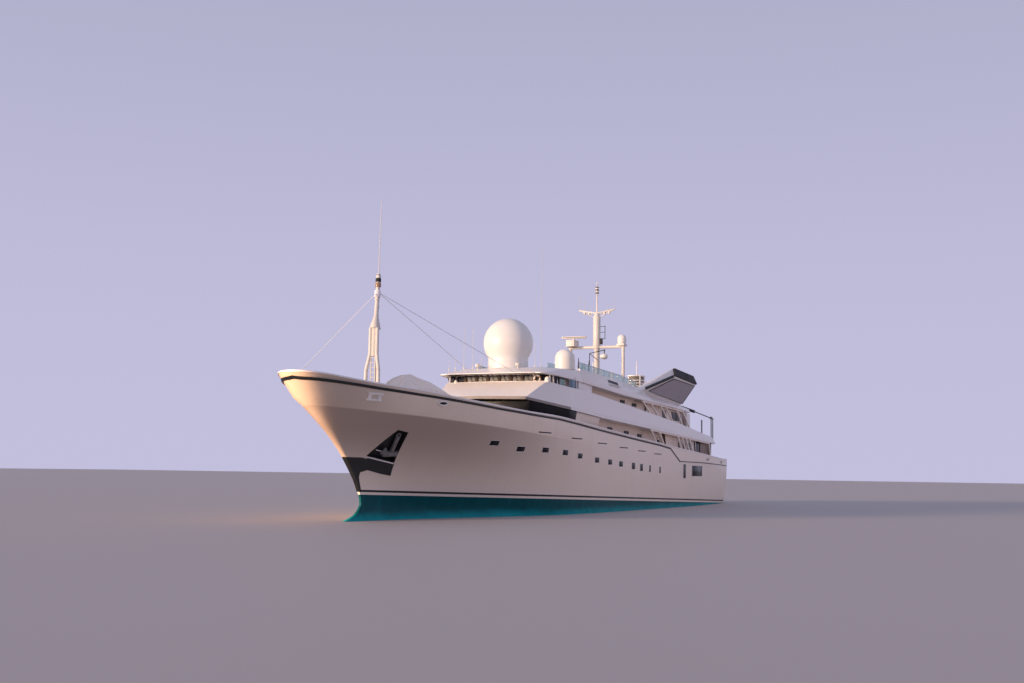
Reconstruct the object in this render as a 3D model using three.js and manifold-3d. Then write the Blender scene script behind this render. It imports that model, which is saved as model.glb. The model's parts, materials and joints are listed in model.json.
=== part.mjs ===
// Motor yacht afloat, a model at 1:10 of a ship about 86 m long.
// Every size below is in metres of the real ship. The outer group scales them to millimetres
// of the model. +X points to the bow, +Y to port and +Z up. The origin lies on the waterline,
// on the centreline, halfway along the ship.
import * as THREE from 'three';
import { mergeVertices } from 'three/addons/utils/BufferGeometryUtils.js';
import Module from 'manifold-3d';

const wasm = await Module();
wasm.setup();

// Driving dimensions
const MODEL_MM_PER_METRE = 100;   // scale 1:10
const GAP = 0.003;                // between pieces that touch, 0.3 mm of model
const STEM_X = 43.0;              // bulwark top at the stem
const STERN_X = -42.65;           // transom at deck height
const KEEL_Z = -4.9;
const BOW_FAN_X = 15;             // the raked stem draws in the frames forward of this place
const DECK_STEM_X = 41.6;         // deck level at the stem
const WALL = 0.12;                // house and door plating
const SLAB = 0.25;                // thickness of a deck

// Shape helpers

// A closed mesh as a solid for joining and cutting.
function toSolid(geometry) {
  const bare = geometry.clone();
  bare.deleteAttribute('normal');
  bare.deleteAttribute('uv');
  const merged = mergeVertices(bare, 1e-5);
  return new wasm.Manifold(new wasm.Mesh({
    numProp: 3,
    vertProperties: new Float32Array(merged.attributes.position.array),
    triVerts: new Uint32Array(merged.index.array),
  }));
}

function toGeometry(solid) {
  const mesh = solid.getMesh();
  const geometry = new THREE.BufferGeometry();
  geometry.setAttribute('position', new THREE.BufferAttribute(mesh.vertProperties.slice(), 3));
  geometry.setIndex(new THREE.BufferAttribute(mesh.triVerts.slice(), 1));
  geometry.computeVertexNormals();
  return geometry;
}

function join(...geometries) {
  return toGeometry(geometries.map(toSolid).reduce((whole, piece) => whole.add(piece)));
}

function cut(geometry, ...tools) {
  return toGeometry(tools.map(toSolid).reduce((rest, tool) => rest.subtract(tool), toSolid(geometry)));
}

function moved(geometry, x, y, z) {
  return geometry.clone().translate(x, y, z);
}

// A piece that stands on a deck, or hangs under one, keeps the touching gap to it.
function standingOn(geometry, deck) {
  return cut(geometry, moved(deck, 0, 0, GAP));
}

function hangingUnder(geometry, deck) {
  return cut(geometry, moved(deck, 0, 0, -GAP));
}

function turnFacesOut(geometry) {
  const p = geometry.attributes.position;
  const index = geometry.index.array;
  let volume = 0;
  const [a, b, c] = [new THREE.Vector3(), new THREE.Vector3(), new THREE.Vector3()];
  for (let i = 0; i < index.length; i += 3) {
    a.fromBufferAttribute(p, index[i]);
    b.fromBufferAttribute(p, index[i + 1]);
    c.fromBufferAttribute(p, index[i + 2]);
    volume += a.dot(b.cross(c));
  }
  if (volume < 0) {
    for (let i = 0; i < index.length; i += 3) {
      [index[i + 1], index[i + 2]] = [index[i + 2], index[i + 1]];
    }
  }
  geometry.computeVertexNormals();
  return geometry;
}

// Triangles of a flat outline in its own direction. Points on a straight run keep their place.
function clippedEars(flat) {
  const turn = Math.sign(THREE.ShapeUtils.area(flat));
  const size = (a, b, c) => turn * THREE.ShapeUtils.area([flat[a], flat[b], flat[c]]);
  const left = flat.map((_, i) => i);
  const faces = [];
  while (left.length > 3) {
    let ear = null;
    left.forEach((b, i) => {
      const [a, c] = [left.at(i - 1), left[(i + 1) % left.length]];
      const area = size(a, b, c);
      const blocked = left.some((k) => k !== a && k !== b && k !== c
        && size(a, b, k) >= 0 && size(b, c, k) >= 0 && size(c, a, k) >= 0);
      if (!blocked && area > 0 && (ear === null || area > ear.area)) {
        ear = { area, place: i, face: [a, b, c] };
      }
    });
    faces.push(ear.face);
    left.splice(ear.place, 1);
  }
  return [...faces, left];
}

// A closed solid through rings of points, with the same number of points in each ring.
function loft(rings) {
  const count = rings[0].length;
  const index = [];
  for (let i = 0; i < rings.length - 1; i++) {
    for (let j = 0; j < count; j++) {
      const a = i * count + j;
      const b = i * count + (j + 1) % count;
      index.push(a, b, b + count, a, b + count, a + count);
    }
  }
  for (const end of [0, rings.length - 1]) {
    const ring = rings[end].map((point) => new THREE.Vector3(...point));
    const normal = new THREE.Vector3();
    ring.forEach((point, i) => normal.add(point.clone().cross(ring[(i + 1) % count])));
    const size = [Math.abs(normal.x), Math.abs(normal.y), Math.abs(normal.z)];
    const axis = size.indexOf(Math.max(...size));
    const [u, v] = [['y', 'z'], ['z', 'x'], ['x', 'y']][axis];
    const flat = ring.map((point) => new THREE.Vector2(point[u], point[v]));
    for (const face of clippedEars(flat)) {
      const corners = face.map((k) => end * count + k);
      index.push(...(end === 0 ? corners.reverse() : corners));
    }
  }
  const geometry = new THREE.BufferGeometry();
  geometry.setAttribute('position', new THREE.Float32BufferAttribute(rings.flat(2), 3));
  geometry.setIndex(index);
  return turnFacesOut(geometry);
}

// The other side's copy of a piece.
function mirrored(geometry) {
  return turnFacesOut(geometry.clone().scale(1, -1, 1));
}

function box(x0, x1, y0, y1, z0, z1) {
  return new THREE.BoxGeometry(x1 - x0, y1 - y0, z1 - z0)
    .translate((x0 + x1) / 2, (y0 + y1) / 2, (z0 + z1) / 2);
}

// A round bar between two points, which may taper.
function bar(from, to, radius, endRadius = radius, sides = 12) {
  const start = new THREE.Vector3(...from);
  const along = new THREE.Vector3(...to).sub(start);
  const turn = new THREE.Quaternion().setFromUnitVectors(
    new THREE.Vector3(0, 1, 0), along.clone().normalize());
  return new THREE.CylinderGeometry(endRadius, radius, along.length(), sides)
    .translate(0, along.length() / 2, 0)
    .applyQuaternion(turn)
    .translate(...from);
}

// A turned piece standing on +Z, from a profile of [radius, height].
function turned(profile, x, y, segments = 32) {
  return new THREE.LatheGeometry(profile.map(([r, z]) => new THREE.Vector2(r, z)), segments)
    .rotateX(Math.PI / 2)
    .translate(x, y, 0);
}

// Straight-line reading of a table of [place, value] pairs, in rising order of place.
function reading(table, place) {
  const last = table.length - 1;
  if (place <= table[0][0]) return table[0][1];
  if (place >= table[last][0]) return table[last][1];
  const i = table.findIndex(([x]) => x > place) - 1;
  const [[x0, v0], [x1, v1]] = [table[i], table[i + 1]];
  return v0 + (v1 - v0) * (place - x0) / (x1 - x0);
}

// Hull, solid below the main deck. Columns of the frame table: place of the frame at the deck,
// deck height, keel height, and half breadths at the levels named below, from the bulwark top
// down to the edge of the flat keel.
const FRAMES = [
  // x, deckZ, keelZ, bulwark, deck, knuckle, l9, l8, l7, l6, l5, waterline, l4, l3, l2, l1
  [STERN_X, 4.60, -0.70, 5.30, 5.30, 5.30, 5.28, 5.22, 5.15, 5.10, 5.04, 5.00, 4.85, 4.60, 4.20, 3.20],
  [-38.0, 4.60, -1.15, 5.85, 5.85, 5.85, 5.82, 5.78, 5.70, 5.65, 5.59, 5.55, 5.40, 5.10, 4.60, 3.50],
  [-32.0, 4.60, -1.90, 6.30, 6.30, 6.28, 6.25, 6.20, 6.12, 6.08, 6.03, 6.00, 5.85, 5.50, 4.90, 3.60],
  [-25.0, 4.70, -3.10, 6.52, 6.52, 6.50, 6.48, 6.44, 6.38, 6.34, 6.29, 6.25, 6.10, 5.75, 5.10, 3.60],
  [-19.0, 4.75, -4.10, 6.58, 6.58, 6.57, 6.55, 6.52, 6.48, 6.45, 6.42, 6.40, 6.25, 5.95, 5.30, 3.70],
  [-15.6, 4.95, -4.60, 6.60, 6.60, 6.59, 6.58, 6.56, 6.52, 6.50, 6.47, 6.45, 6.35, 6.10, 5.50, 3.90],
  [-8.0, 5.40, KEEL_Z, 6.60, 6.60, 6.60, 6.60, 6.58, 6.56, 6.54, 6.52, 6.50, 6.45, 6.25, 5.75, 4.20],
  [0.0, 5.87, KEEL_Z, 6.60, 6.60, 6.60, 6.60, 6.58, 6.55, 6.53, 6.51, 6.50, 6.45, 6.30, 5.80, 4.30],
  [8.0, 6.34, KEEL_Z, 6.60, 6.60, 6.58, 6.52, 6.45, 6.38, 6.35, 6.32, 6.30, 6.25, 6.05, 5.50, 4.00],
  [15.0, 6.75, KEEL_Z, 6.55, 6.52, 6.47, 6.30, 6.02, 5.70, 5.55, 5.46, 5.40, 5.30, 5.00, 4.40, 3.00],
  [21.0, 7.00, KEEL_Z, 6.33, 6.27, 6.18, 5.72, 5.10, 4.50, 4.22, 4.11, 4.05, 3.90, 3.65, 3.05, 2.00],
  [26.0, 7.12, KEEL_Z, 5.87, 5.75, 5.60, 4.95, 4.05, 3.25, 2.90, 2.78, 2.72, 2.62, 2.45, 1.95, 1.20],
  [30.0, 7.30, KEEL_Z, 5.25, 5.05, 4.85, 4.08, 3.10, 2.25, 1.88, 1.78, 1.75, 1.72, 1.62, 1.28, 0.75],
  [33.5, 7.50, KEEL_Z, 4.43, 4.18, 3.92, 3.10, 2.18, 1.40, 1.08, 1.02, 1.02, 1.15, 1.20, 0.95, 0.50],
  [36.5, 7.75, KEEL_Z, 3.40, 3.12, 2.83, 2.08, 1.36, 0.76, 0.52, 0.52, 0.60, 0.95, 1.05, 0.80, 0.40],
  [39.0, 7.95, KEEL_Z, 2.50, 2.22, 1.92, 1.28, 0.75, 0.38, 0.26, 0.31, 0.42, 0.80, 0.95, 0.65, 0.35],
  [40.6, 8.05, KEEL_Z, 1.62, 1.40, 1.16, 0.70, 0.40, 0.22, 0.16, 0.20, 0.28, 0.55, 0.70, 0.45, 0.28],
  [41.3, 8.10, KEEL_Z, 1.00, 0.84, 0.66, 0.38, 0.22, 0.14, 0.12, 0.13, 0.16, 0.32, 0.40, 0.28, 0.20],
  [DECK_STEM_X, 8.12, KEEL_Z, 0.25, 0.20, 0.16, 0.12, 0.10, 0.08, 0.08, 0.08, 0.08, 0.10, 0.10, 0.10, 0.10],
];
const COLUMN = { x: 0, deckZ: 1, keelZ: 2, bulwark: 3 };
const KEEL_HALF_WIDTH = 0.25;

// Levels of the hull from the deck down: share of the height above water (positive) or of the
// depth below it (negative), place of the stem, and place of the transom.
const LEVELS = [
  { name: 'deck', share: 1, stemX: DECK_STEM_X, sternX: STERN_X },
  { name: 'knuckle', share: 0.94, stemX: 40.9, sternX: -42.6 },
  { name: 'l9', share: 0.70, stemX: 38.2, sternX: -42.5 },
  { name: 'l8', share: 0.47, stemX: 36.05, sternX: -42.3 },
  { name: 'l7', share: 0.24, stemX: 34.6, sternX: -42.1 },
  { name: 'l6', share: 0.13, stemX: 34.35, sternX: -42.0 },
  { name: 'l5', share: 0.05, stemX: 35.1, sternX: -41.9 },
  { name: 'waterline', share: 0, stemX: 36.4, sternX: -41.9 },
  { name: 'l4', share: -0.22, stemX: 38.0, sternX: -41.8 },
  { name: 'l3', share: -0.50, stemX: 38.2, sternX: -41.7 },
  { name: 'l2', share: -0.80, stemX: 36.3, sternX: -41.6 },
  { name: 'l1', share: -0.94, stemX: 33.5, sternX: -41.6 },
  { name: 'keel', share: -1, stemX: 31.0, sternX: -41.6 },
];

// Forward of the fan place and near the transom, a frame leans with the stem or the stern.
const STERN_FAN_X = -36;
function leaning(x, stemX, sternX) {
  if (x > BOW_FAN_X) {
    return BOW_FAN_X + (x - BOW_FAN_X) * (stemX - BOW_FAN_X) / (DECK_STEM_X - BOW_FAN_X);
  }
  if (x < STERN_FAN_X) {
    return STERN_FAN_X + (x - STERN_FAN_X) * (sternX - STERN_FAN_X) / (STERN_X - STERN_FAN_X);
  }
  return x;
}

function hullRing(frame) {
  const port = LEVELS.map((level, i) => {
    const z = level.share >= 0
      ? level.share * frame[COLUMN.deckZ]
      : -level.share * frame[COLUMN.keelZ];
    const breadth = level.name === 'keel' ? KEEL_HALF_WIDTH : frame[COLUMN.bulwark + 1 + i];
    const inTip = level.name === 'keel' && frame[COLUMN.x] === DECK_STEM_X ? 0.08 : breadth;
    return [leaning(frame[COLUMN.x], level.stemX, level.sternX), inTip, z];
  });
  const starboard = port.map(([x, y, z]) => [x, -y, z]).reverse();
  return [...port, ...starboard];
}

// Propellers, rudders and what the hull carries for them
const PROP = { x: -33.2, y: 2.7, z: -3.15, radius: 1.3, hubRadius: 0.3, hubLength: 0.85, blades: 5 };
const RUDDER = { x: -36.6, y: 2.7, topZ: -2.0, lowZ: -4.4, forward: 0.7, aft: 1.5, stock: 0.16 };
const BOSS_LOW_Z = -1.9;
const SHAFT_RADIUS = 0.15;
const SHAFT_FORE_X = -19;

// Pocket in the bow for an anchor: corners in side view, as [x, z], on the port side.
const POCKET = [[34.0, 6.2], [33.1, 6.05], [32.4, 3.97], [35.0, 4.4]];
const POCKET_DEPTH = 0.4;

const rawHull = loft(FRAMES.map(hullRing));

// Where a line athwartships from far off to port meets the hull.
function sideOfHull(x, z) {
  const mesh = new THREE.Mesh(rawHull, new THREE.MeshBasicMaterial({ side: THREE.DoubleSide }));
  const ray = new THREE.Raycaster(new THREE.Vector3(x, 20, z), new THREE.Vector3(0, -1, 0));
  return ray.intersectObject(mesh)[0].point.y;
}

const pocketRing = (offset) => POCKET.map(([x, z]) => [x, sideOfHull(x, z) + offset, z]);
const pocket = loft([pocketRing(-POCKET_DEPTH), pocketRing(1.5)]);
const rudderBoss = bar([RUDDER.x, RUDDER.y, -0.6], [RUDDER.x, RUDDER.y, BOSS_LOW_Z], 0.36, 0.36, 16);
const hull = cut(
  join(rawHull, rudderBoss, mirrored(rudderBoss)),
  pocket, mirrored(pocket));

// Bulwarks of the main deck, one each side, from the transom to the stem.
const BULWARK_THICKNESS = 0.16;
const BULWARK_TOP = [
  [STERN_X, 5.35], [-38, 5.4], [-32, 5.6], [-25, 5.9], [-19, 6.15], [-15.6, 6.32], [0, 7.14],
  [8, 7.60], [15, 7.98], [21, 8.12], [26, 8.37], [30, 8.61], [33.5, 8.88], [36.5, 9.07],
  [39, 9.30], [40.6, 9.50], [DECK_STEM_X, 9.57],
];

const MAIN_DECK = FRAMES.map((frame) => [frame[COLUMN.x], frame[COLUMN.deckZ]]);
const mainDeckZ = (x) => reading(MAIN_DECK, x);

function bulwarkRing(frame, side) {
  const x = frame[COLUMN.x];
  const deckX = leaning(x, DECK_STEM_X, STERN_X);
  const topX = leaning(x, STEM_X, STERN_X);
  const topZ = reading(BULWARK_TOP, x);
  const [top, low] = [frame[COLUMN.bulwark], frame[COLUMN.bulwark + 1]];
  // Near the stem the plating turns athwartships, so its inner face lies aft of the outer one.
  const turn = Math.min(1, Math.max(0, (x - 36.5) / (DECK_STEM_X - 36.5)));
  const inward = BULWARK_THICKNESS * (1 + 0.6 * turn);
  const aft = BULWARK_THICKNESS * 1.6 * turn;
  const centre = GAP / 2;
  return [
    [deckX, Math.max(centre, low), mainDeckZ(deckX) + GAP],
    [topX, Math.max(centre, top), topZ],
    [topX - aft, Math.max(centre, top - inward), topZ],
    [deckX - aft, Math.max(centre, low - inward), mainDeckZ(deckX - aft) + GAP],
  ].map(([px, py, pz]) => [px, side * py, pz]);
}

// The last ring closes the bulwark on the centreline.
function bulwark(side) {
  const rings = FRAMES.map((frame) => bulwarkRing(frame, side));
  const tip = rings[rings.length - 1].map(([x, y, z]) => [x, side * GAP / 2, z]);
  return loft([...rings, tip]);
}
const bulwarkPort = bulwark(1);
const bulwarkStarboard = bulwark(-1);

// Bridge deck. Its underside falls aft and turns up at the prow.
const BRIDGE_UNDER = [[-34.5, 7.05], [4.8, 8.35], [13.3, 8.8], [16.65, 9.4]];
const BRIDGE_PLAN = [
  // x, half breadth
  [-34.5, 6.1], [-20, 6.45], [4.8, 6.45], [8, 6.4], [11.5, 6.25], [16.3, 4.2], [16.65, 0.05],
];

// A deck or house whose sides follow two half-breadth tables, between two heights by place.
function tier(places, lowBreadth, topBreadth, lowZ, topZ) {
  return loft(places.map((x) => {
    const [low, top] = [lowBreadth(x), topBreadth(x)];
    return [[x, low, lowZ(x)], [x, top, topZ(x)], [x, -top, topZ(x)], [x, -low, lowZ(x)]];
  }));
}
const bridgeUnder = (x) => reading(BRIDGE_UNDER, x);
const bridgeFloor = (x) => bridgeUnder(x) + SLAB;
const bridgeBreadth = (x) => reading(BRIDGE_PLAN, x);
const bridgeDeck = tier(
  BRIDGE_PLAN.map(([x]) => x), bridgeBreadth, (x) => Math.max(0.03, bridgeBreadth(x) - 0.05),
  bridgeUnder, bridgeFloor);

// Main deck house, from the dark lounge front to the after deck.
const MAIN_HOUSE = [[-28, 4.2], [-24, 5.3], [10, 5.3], [13, 4.7], [15.2, 3.2], [15.7, 0.3]];
const GLAZED_FROM_X = 4.8;
const mainHouseBreadth = (x) => reading(MAIN_HOUSE, x);
function mainHouseTop(x) {
  return x < GLAZED_FROM_X ? mainHouseBreadth(x) : Math.max(0.2, bridgeBreadth(x) - 0.12);
}
const mainHouse = hangingUnder(
  standingOn(
    tier([-28, -24, GLAZED_FROM_X - 0.02, GLAZED_FROM_X, 10, 11.5, 13, 15.2, 15.7],
      mainHouseBreadth, mainHouseTop, () => 4.4, (x) => bridgeUnder(x) + 0.1),
    hull),
  bridgeDeck);

// Bridge bulwark: a raked band round the bridge deck, with a three-sided prow. Columns of its
// path from the centreline to the after end, port side: foot x, y, then top x, y, z.
const BAND_PATH = [
  // footX, footY, topX, topY, topZ
  [16.6, 0.0, 13.0, 0.0, 11.08],
  [16.25, 4.15, 13.2, 4.7, 11.02],
  [11.45, 6.2, 10.5, 5.7, 10.68],
  [8.0, 6.34, 7.2, 6.05, 10.52],
  [4.8, 6.4, 3.0, 6.05, 10.3],
  [-6.4, 6.4, -6.4, 6.1, 9.72],
  [-20.0, 6.4, -20.0, 6.1, 8.88],
  [-34.4, 6.04, -33.8, 5.9, 7.82],
];
const BAND_THICKNESS = 0.22;
const BAND_SEAT = 0.06;

function bandRings(side) {
  return BAND_PATH.map(([footX, footY, topX, topY, topZ], i) => {
    // The inner face lies inward along the plan normal of the path, aft at the prow.
    const [aft, inward] = [[1.1, 0], [1.0, 0.7], [0.5, 1.0], [0.1, 1]][Math.min(i, 3)];
    const [dx, dy] = [aft * BAND_THICKNESS, inward * BAND_THICKNESS];
    return [
      [footX, footY, bridgeFloor(footX) - BAND_SEAT],
      [topX, topY, topZ],
      [topX - dx, topY - dy, topZ],
      [footX - dx, footY - dy, bridgeFloor(footX - dx) - BAND_SEAT],
    ].map(([x, y, z]) => [x, side * y, z]);
  });
}
const bridgeBulwark = standingOn(
  loft([...bandRings(1).reverse(), ...bandRings(-1).slice(1)]), bridgeDeck);

// Sun deck: underside falls aft, sides stand up round its floor.
const SUN_UNDER = [[-28, 10.42], [-4, 10.86], [14.4, 11.62]];
const SUN_TOP = [[-28, 10.85], [-22, 11.05], [-12.6, 11.3], [-10, 11.9], [-4, 12.3], [7, 12.58]];
const SUN_FORE_X = 7;
const SUN_FLOOR = 0.3;
const SUN_RIM = 0.25;
const SUN_FOOT = [[-28, 4.9], [-20, 5.5], [7, 5.6], [12, 5.3], [14.0, 4.95], [14.4, 4.6]];
const sunUnder = (x) => reading(SUN_UNDER, x);
const sunFoot = (x) => reading(SUN_FOOT, x);
const sunTop = (x) => reading(SUN_TOP, x);
const sunTopBreadth = (x) => sunFoot(x) - 0.32 * (sunTop(x) - sunUnder(x));
const sunDeck = loft([-28, -22, -20, -12.6, -10, -4, SUN_FORE_X - GAP].map((x) => {
  const [foot, top] = [sunFoot(x), sunTopBreadth(x)];
  const floor = sunUnder(x) + SUN_FLOOR;
  const port = [
    [foot, sunUnder(x)], [foot + 0.02, sunUnder(x) + 0.12], [top, sunTop(x)],
    [top - SUN_RIM, sunTop(x)], [top - SUN_RIM - 0.02, floor],
  ];
  const section = [...port, ...port.map(([y, z]) => [-y, z]).reverse()];
  return section.map(([y, z]) => [x, y, z]);
}));

// Wheelhouse roof: a tray turned down over the wheelhouse, its brow drooping forward.
const ROOF_TOP = [[7, 12.45], [10.6, 12.45], [12.6, 12.28], [13.6, 12.0], [14.4, 11.74]];
const ROOF_EDGE = [[7, 12.39], [10, 12.3], [12.6, 11.92], [13.6, 11.78], [14.4, 11.72]];
const ROOF_CEILING = [[7, 11.8], [13.0, 11.8], [14.1, 11.68], [14.4, 11.66]];
const ROOF_AFT_X = SUN_FORE_X;
const roofTop = (x) => reading(ROOF_TOP, x);
const ceiling = (x) => reading(ROOF_CEILING, x);
const wheelhouseRoof = loft([ROOF_AFT_X, 10, 10.6, 12.6, 13.0, 13.6, 14.0, 14.4].map((x) => {
  const foot = sunFoot(x);
  const rise = reading(ROOF_EDGE, x) - sunUnder(x);
  const port = [
    [foot, sunUnder(x)], [foot + 0.02, sunUnder(x) + 0.05],
    [foot - 0.32 * rise, reading(ROOF_EDGE, x)], [foot - 1.9, roofTop(x)],
  ];
  const under = [[foot - 0.5, ceiling(x)], [foot - 0.35, sunUnder(x)]];
  const section = [...port, ...port.map(([y, z]) => [-y, z]).reverse()];
  const below = [...under.map(([y, z]) => [-y, z]).reverse(), ...under];
  return [...section, ...below].map(([y, z]) => [x, y, z]);
}));

// Wheelhouse walls, hollow, with the front windows and the side door openings cut.
const WHEELHOUSE = [[12.6, 0], [12.5, 3.3], [11.7, 4.5], [7.0 + GAP, 4.5]];
const WHEELHOUSE_SIDE_Y = 4.5;
const WINDOW_SILL_Z = 10.45;
const WINDOW_HEAD_Z = 11.66;
const DOOR = {
  aftX: 8.6, foreX: 9.6, height: 2.05, thickness: 0.06, clearance: 0.05, hinge: 0.004,
};

function wheelhousePrism(inset) {
  const port = WHEELHOUSE.map(([x, y], i) => {
    const aft = i === WHEELHOUSE.length - 1 ? -inset : inset;
    return [x - aft, Math.max(0, y - (i > 1 ? inset : 0.6 * inset))];
  });
  const plan = [...port, ...port.slice(1).map(([x, y]) => [x, -y]).reverse()];
  const low = plan.map(([x, y]) => [x, y, bridgeFloor(x) - 0.1]);
  const top = plan.map(([x, y]) => [x, y, 12.0]);
  return loft([low, top]);
}
const windowTools = [];
for (const y of [-2.7, -1.62, -0.54, 0.54, 1.62, 2.7]) {
  windowTools.push(box(11.4, 13.4, y - 0.42, y + 0.42, WINDOW_SILL_Z, WINDOW_HEAD_Z));
}
for (const side of [1, -1]) {
  const corner = box(-0.6, 0.6, -0.55, 0.55, WINDOW_SILL_Z, WINDOW_HEAD_Z)
    .rotateZ(side * Math.atan2(1.2, 0.8))
    .translate(12.1, side * 3.9, 0);
  windowTools.push(corner);
  const wallY = side * WHEELHOUSE_SIDE_Y;
  windowTools.push(box(10.0, 11.4, wallY - 0.3, wallY + 0.3, WINDOW_SILL_Z, WINDOW_HEAD_Z));
}
const doorSillZ = bridgeFloor(DOOR.foreX) + 0.12;
for (const side of [1, -1]) {
  windowTools.push(box(
    DOOR.aftX, DOOR.foreX, side * WHEELHOUSE_SIDE_Y - 0.3, side * WHEELHOUSE_SIDE_Y + 0.3,
    doorSillZ, doorSillZ + DOOR.height));
}
const wheelhouse = hangingUnder(
  standingOn(cut(wheelhousePrism(0), wheelhousePrism(WALL), ...windowTools), bridgeDeck),
  wheelhouseRoof);

// Wheelhouse side doors, hinged on their forward edge and opening outward.
function wheelhouseDoor(side) {
  const outer = side * WHEELHOUSE_SIDE_Y;
  const inner = side * (WHEELHOUSE_SIDE_Y - DOOR.thickness);
  return box(
    DOOR.aftX + DOOR.clearance, DOOR.foreX - DOOR.hinge,
    Math.min(outer, inner), Math.max(outer, inner),
    doorSillZ + DOOR.clearance, doorSillZ + DOOR.height - DOOR.clearance);
}

// Bridge deck house behind the wheelhouse.
const bridgeHouse = hangingUnder(
  standingOn(
    tier([-17, -15.5, 4.8, SUN_FORE_X - GAP], (x) => reading([[-17, 3.6], [-15.5, 4.6]], x),
      (x) => reading([[-17, 3.6], [-15.5, 4.6]], x), (x) => bridgeFloor(x) - 0.1,
      (x) => sunUnder(x) + 0.1),
    bridgeDeck),
  sunDeck);

// Wing walls that carry the sun deck on the bridge bulwark.
const WING_WALL = { foreX: 7.9, aftX: 4.6, foreY: 5.3, aftY: 5.3, thickness: 0.15 };
function wingWall(side) {
  const ends = [[WING_WALL.foreX, WING_WALL.foreY], [WING_WALL.aftX, WING_WALL.aftY]];
  const wall = loft(ends.map(([x, y]) => {
    const [low, top] = [bridgeFloor(x) - 0.1, 11.6];
    const outer = y + WING_WALL.thickness;
    return [[x, y, low], [x, outer, low], [x, outer, top], [x, y, top]]
      .map(([px, py, pz]) => [px, side * py, pz]);
  }));
  return hangingUnder(hangingUnder(standingOn(wall, bridgeDeck), sunDeck), wheelhouseRoof);
}

// Wind screens of teal glass on the sun deck's sides.
const SCREEN = { foreX: 6.8, aftX: -8.6, height: 0.55, thickness: 0.05, inset: 0.1 };
function windscreen(side) {
  return loft([SCREEN.foreX, -4, SCREEN.aftX].map((x) => {
    const outer = sunTopBreadth(x) - SCREEN.inset;
    const low = sunTop(x) + GAP;
    return [
      [x, side * outer, low], [x, side * outer, low + SCREEN.height],
      [x, side * (outer - SCREEN.thickness), low + SCREEN.height],
      [x, side * (outer - SCREEN.thickness), low],
    ];
  }));
}

// Funnels: two broad arms raked aft and leaning outboard, with a black louvred end.
const FUNNEL_FOOT = [
  // x, y, z: lower front, upper front, upper aft, lower aft
  [-8.6, 4.6, 11.3], [-8.6, 3.65, 11.3], [-23.4, 3.95, 10.7], [-23.4, 4.88, 10.7],
];
const FUNNEL_TOP = [
  // x, y, z: lower front, upper front, upper aft, lower aft
  [-16.9, 6.45, 13.75], [-17.6, 6.1, 14.6], [-24.8, 6.1, 14.3], [-25.0, 6.45, 13.4],
];
function funnel(side) {
  const rings = [FUNNEL_FOOT, FUNNEL_TOP].map((ring) => ring.map(([x, y, z]) => [x, side * y, z]));
  return standingOn(loft(rings), sunDeck);
}

// Louvred casings between the funnels, one each side.
const CASING = { foreX: -15.7, aftX: -17.0, innerY: 1.85, outerY: 3.05, lowZ: 10.8, topZ: 13.8 };
const casing = standingOn(
  box(CASING.aftX, CASING.foreX, CASING.innerY, CASING.outerY, CASING.lowZ, CASING.topZ), sunDeck);

// Satellite domes: a large one on the wheelhouse roof, a small one on the sun deck.
const BIG_DOME = { x: 10.8, radius: 2.16, centreZ: 14.6, drumRadius: 1.74, baseZ: 12.3 };
const SMALL_DOME = { x: -2.2, radius: 0.97, centreZ: 14.4, baseRadius: 1.02, neckZ: 13.2 };

// Points of a round cap, from where it leaves its base radius up to the top.
function capProfile(radius, centreZ, fromRadius, steps) {
  const start = -Math.acos(fromRadius / radius);
  return Array.from({ length: steps + 1 }, (_, i) => {
    const angle = start + (Math.PI / 2 - start) * i / steps;
    return [i === steps ? 0 : radius * Math.cos(angle), centreZ + radius * Math.sin(angle)];
  });
}
const bigDome = standingOn(
  turned([[0, BIG_DOME.baseZ], [BIG_DOME.drumRadius, BIG_DOME.baseZ],
    ...capProfile(BIG_DOME.radius, BIG_DOME.centreZ, BIG_DOME.drumRadius, 12)], BIG_DOME.x, 0, 36),
  wheelhouseRoof);
const smallDome = standingOn(
  turned([[0, 11.1], [0.5, 11.1], [0.5, SMALL_DOME.neckZ], [SMALL_DOME.baseRadius, 13.35],
    ...Array.from({ length: 7 }, (_, i) => {
      const angle = Math.PI / 2 * i / 6;
      return [i === 6 ? 0 : SMALL_DOME.radius * Math.cos(angle),
        SMALL_DOME.centreZ + SMALL_DOME.radius * Math.sin(angle)];
    })], SMALL_DOME.x, 0, 24),
  sunDeck);

// Radar mast: a portal athwartships with a tower through it, a yard and a lamp pole.
const MAST = {
  x: -10.85, legY: 2.9, legRadius: 0.17, beamZ: 16.4, beamRadius: 0.15, footRadius: 0.26,
  towerRadius: 0.38, shoulderZ: 19.5, towerTopZ: 20.0, towerTopRadius: 0.2,
  yardZ: 20.3, yardReach: 1.95, yardRadius: 0.09,
  lampZ: 22.0, lampHeight: 0.7, lampRadius: 0.16, tipZ: 23.3, tipRadius: 0.04,
};
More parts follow.
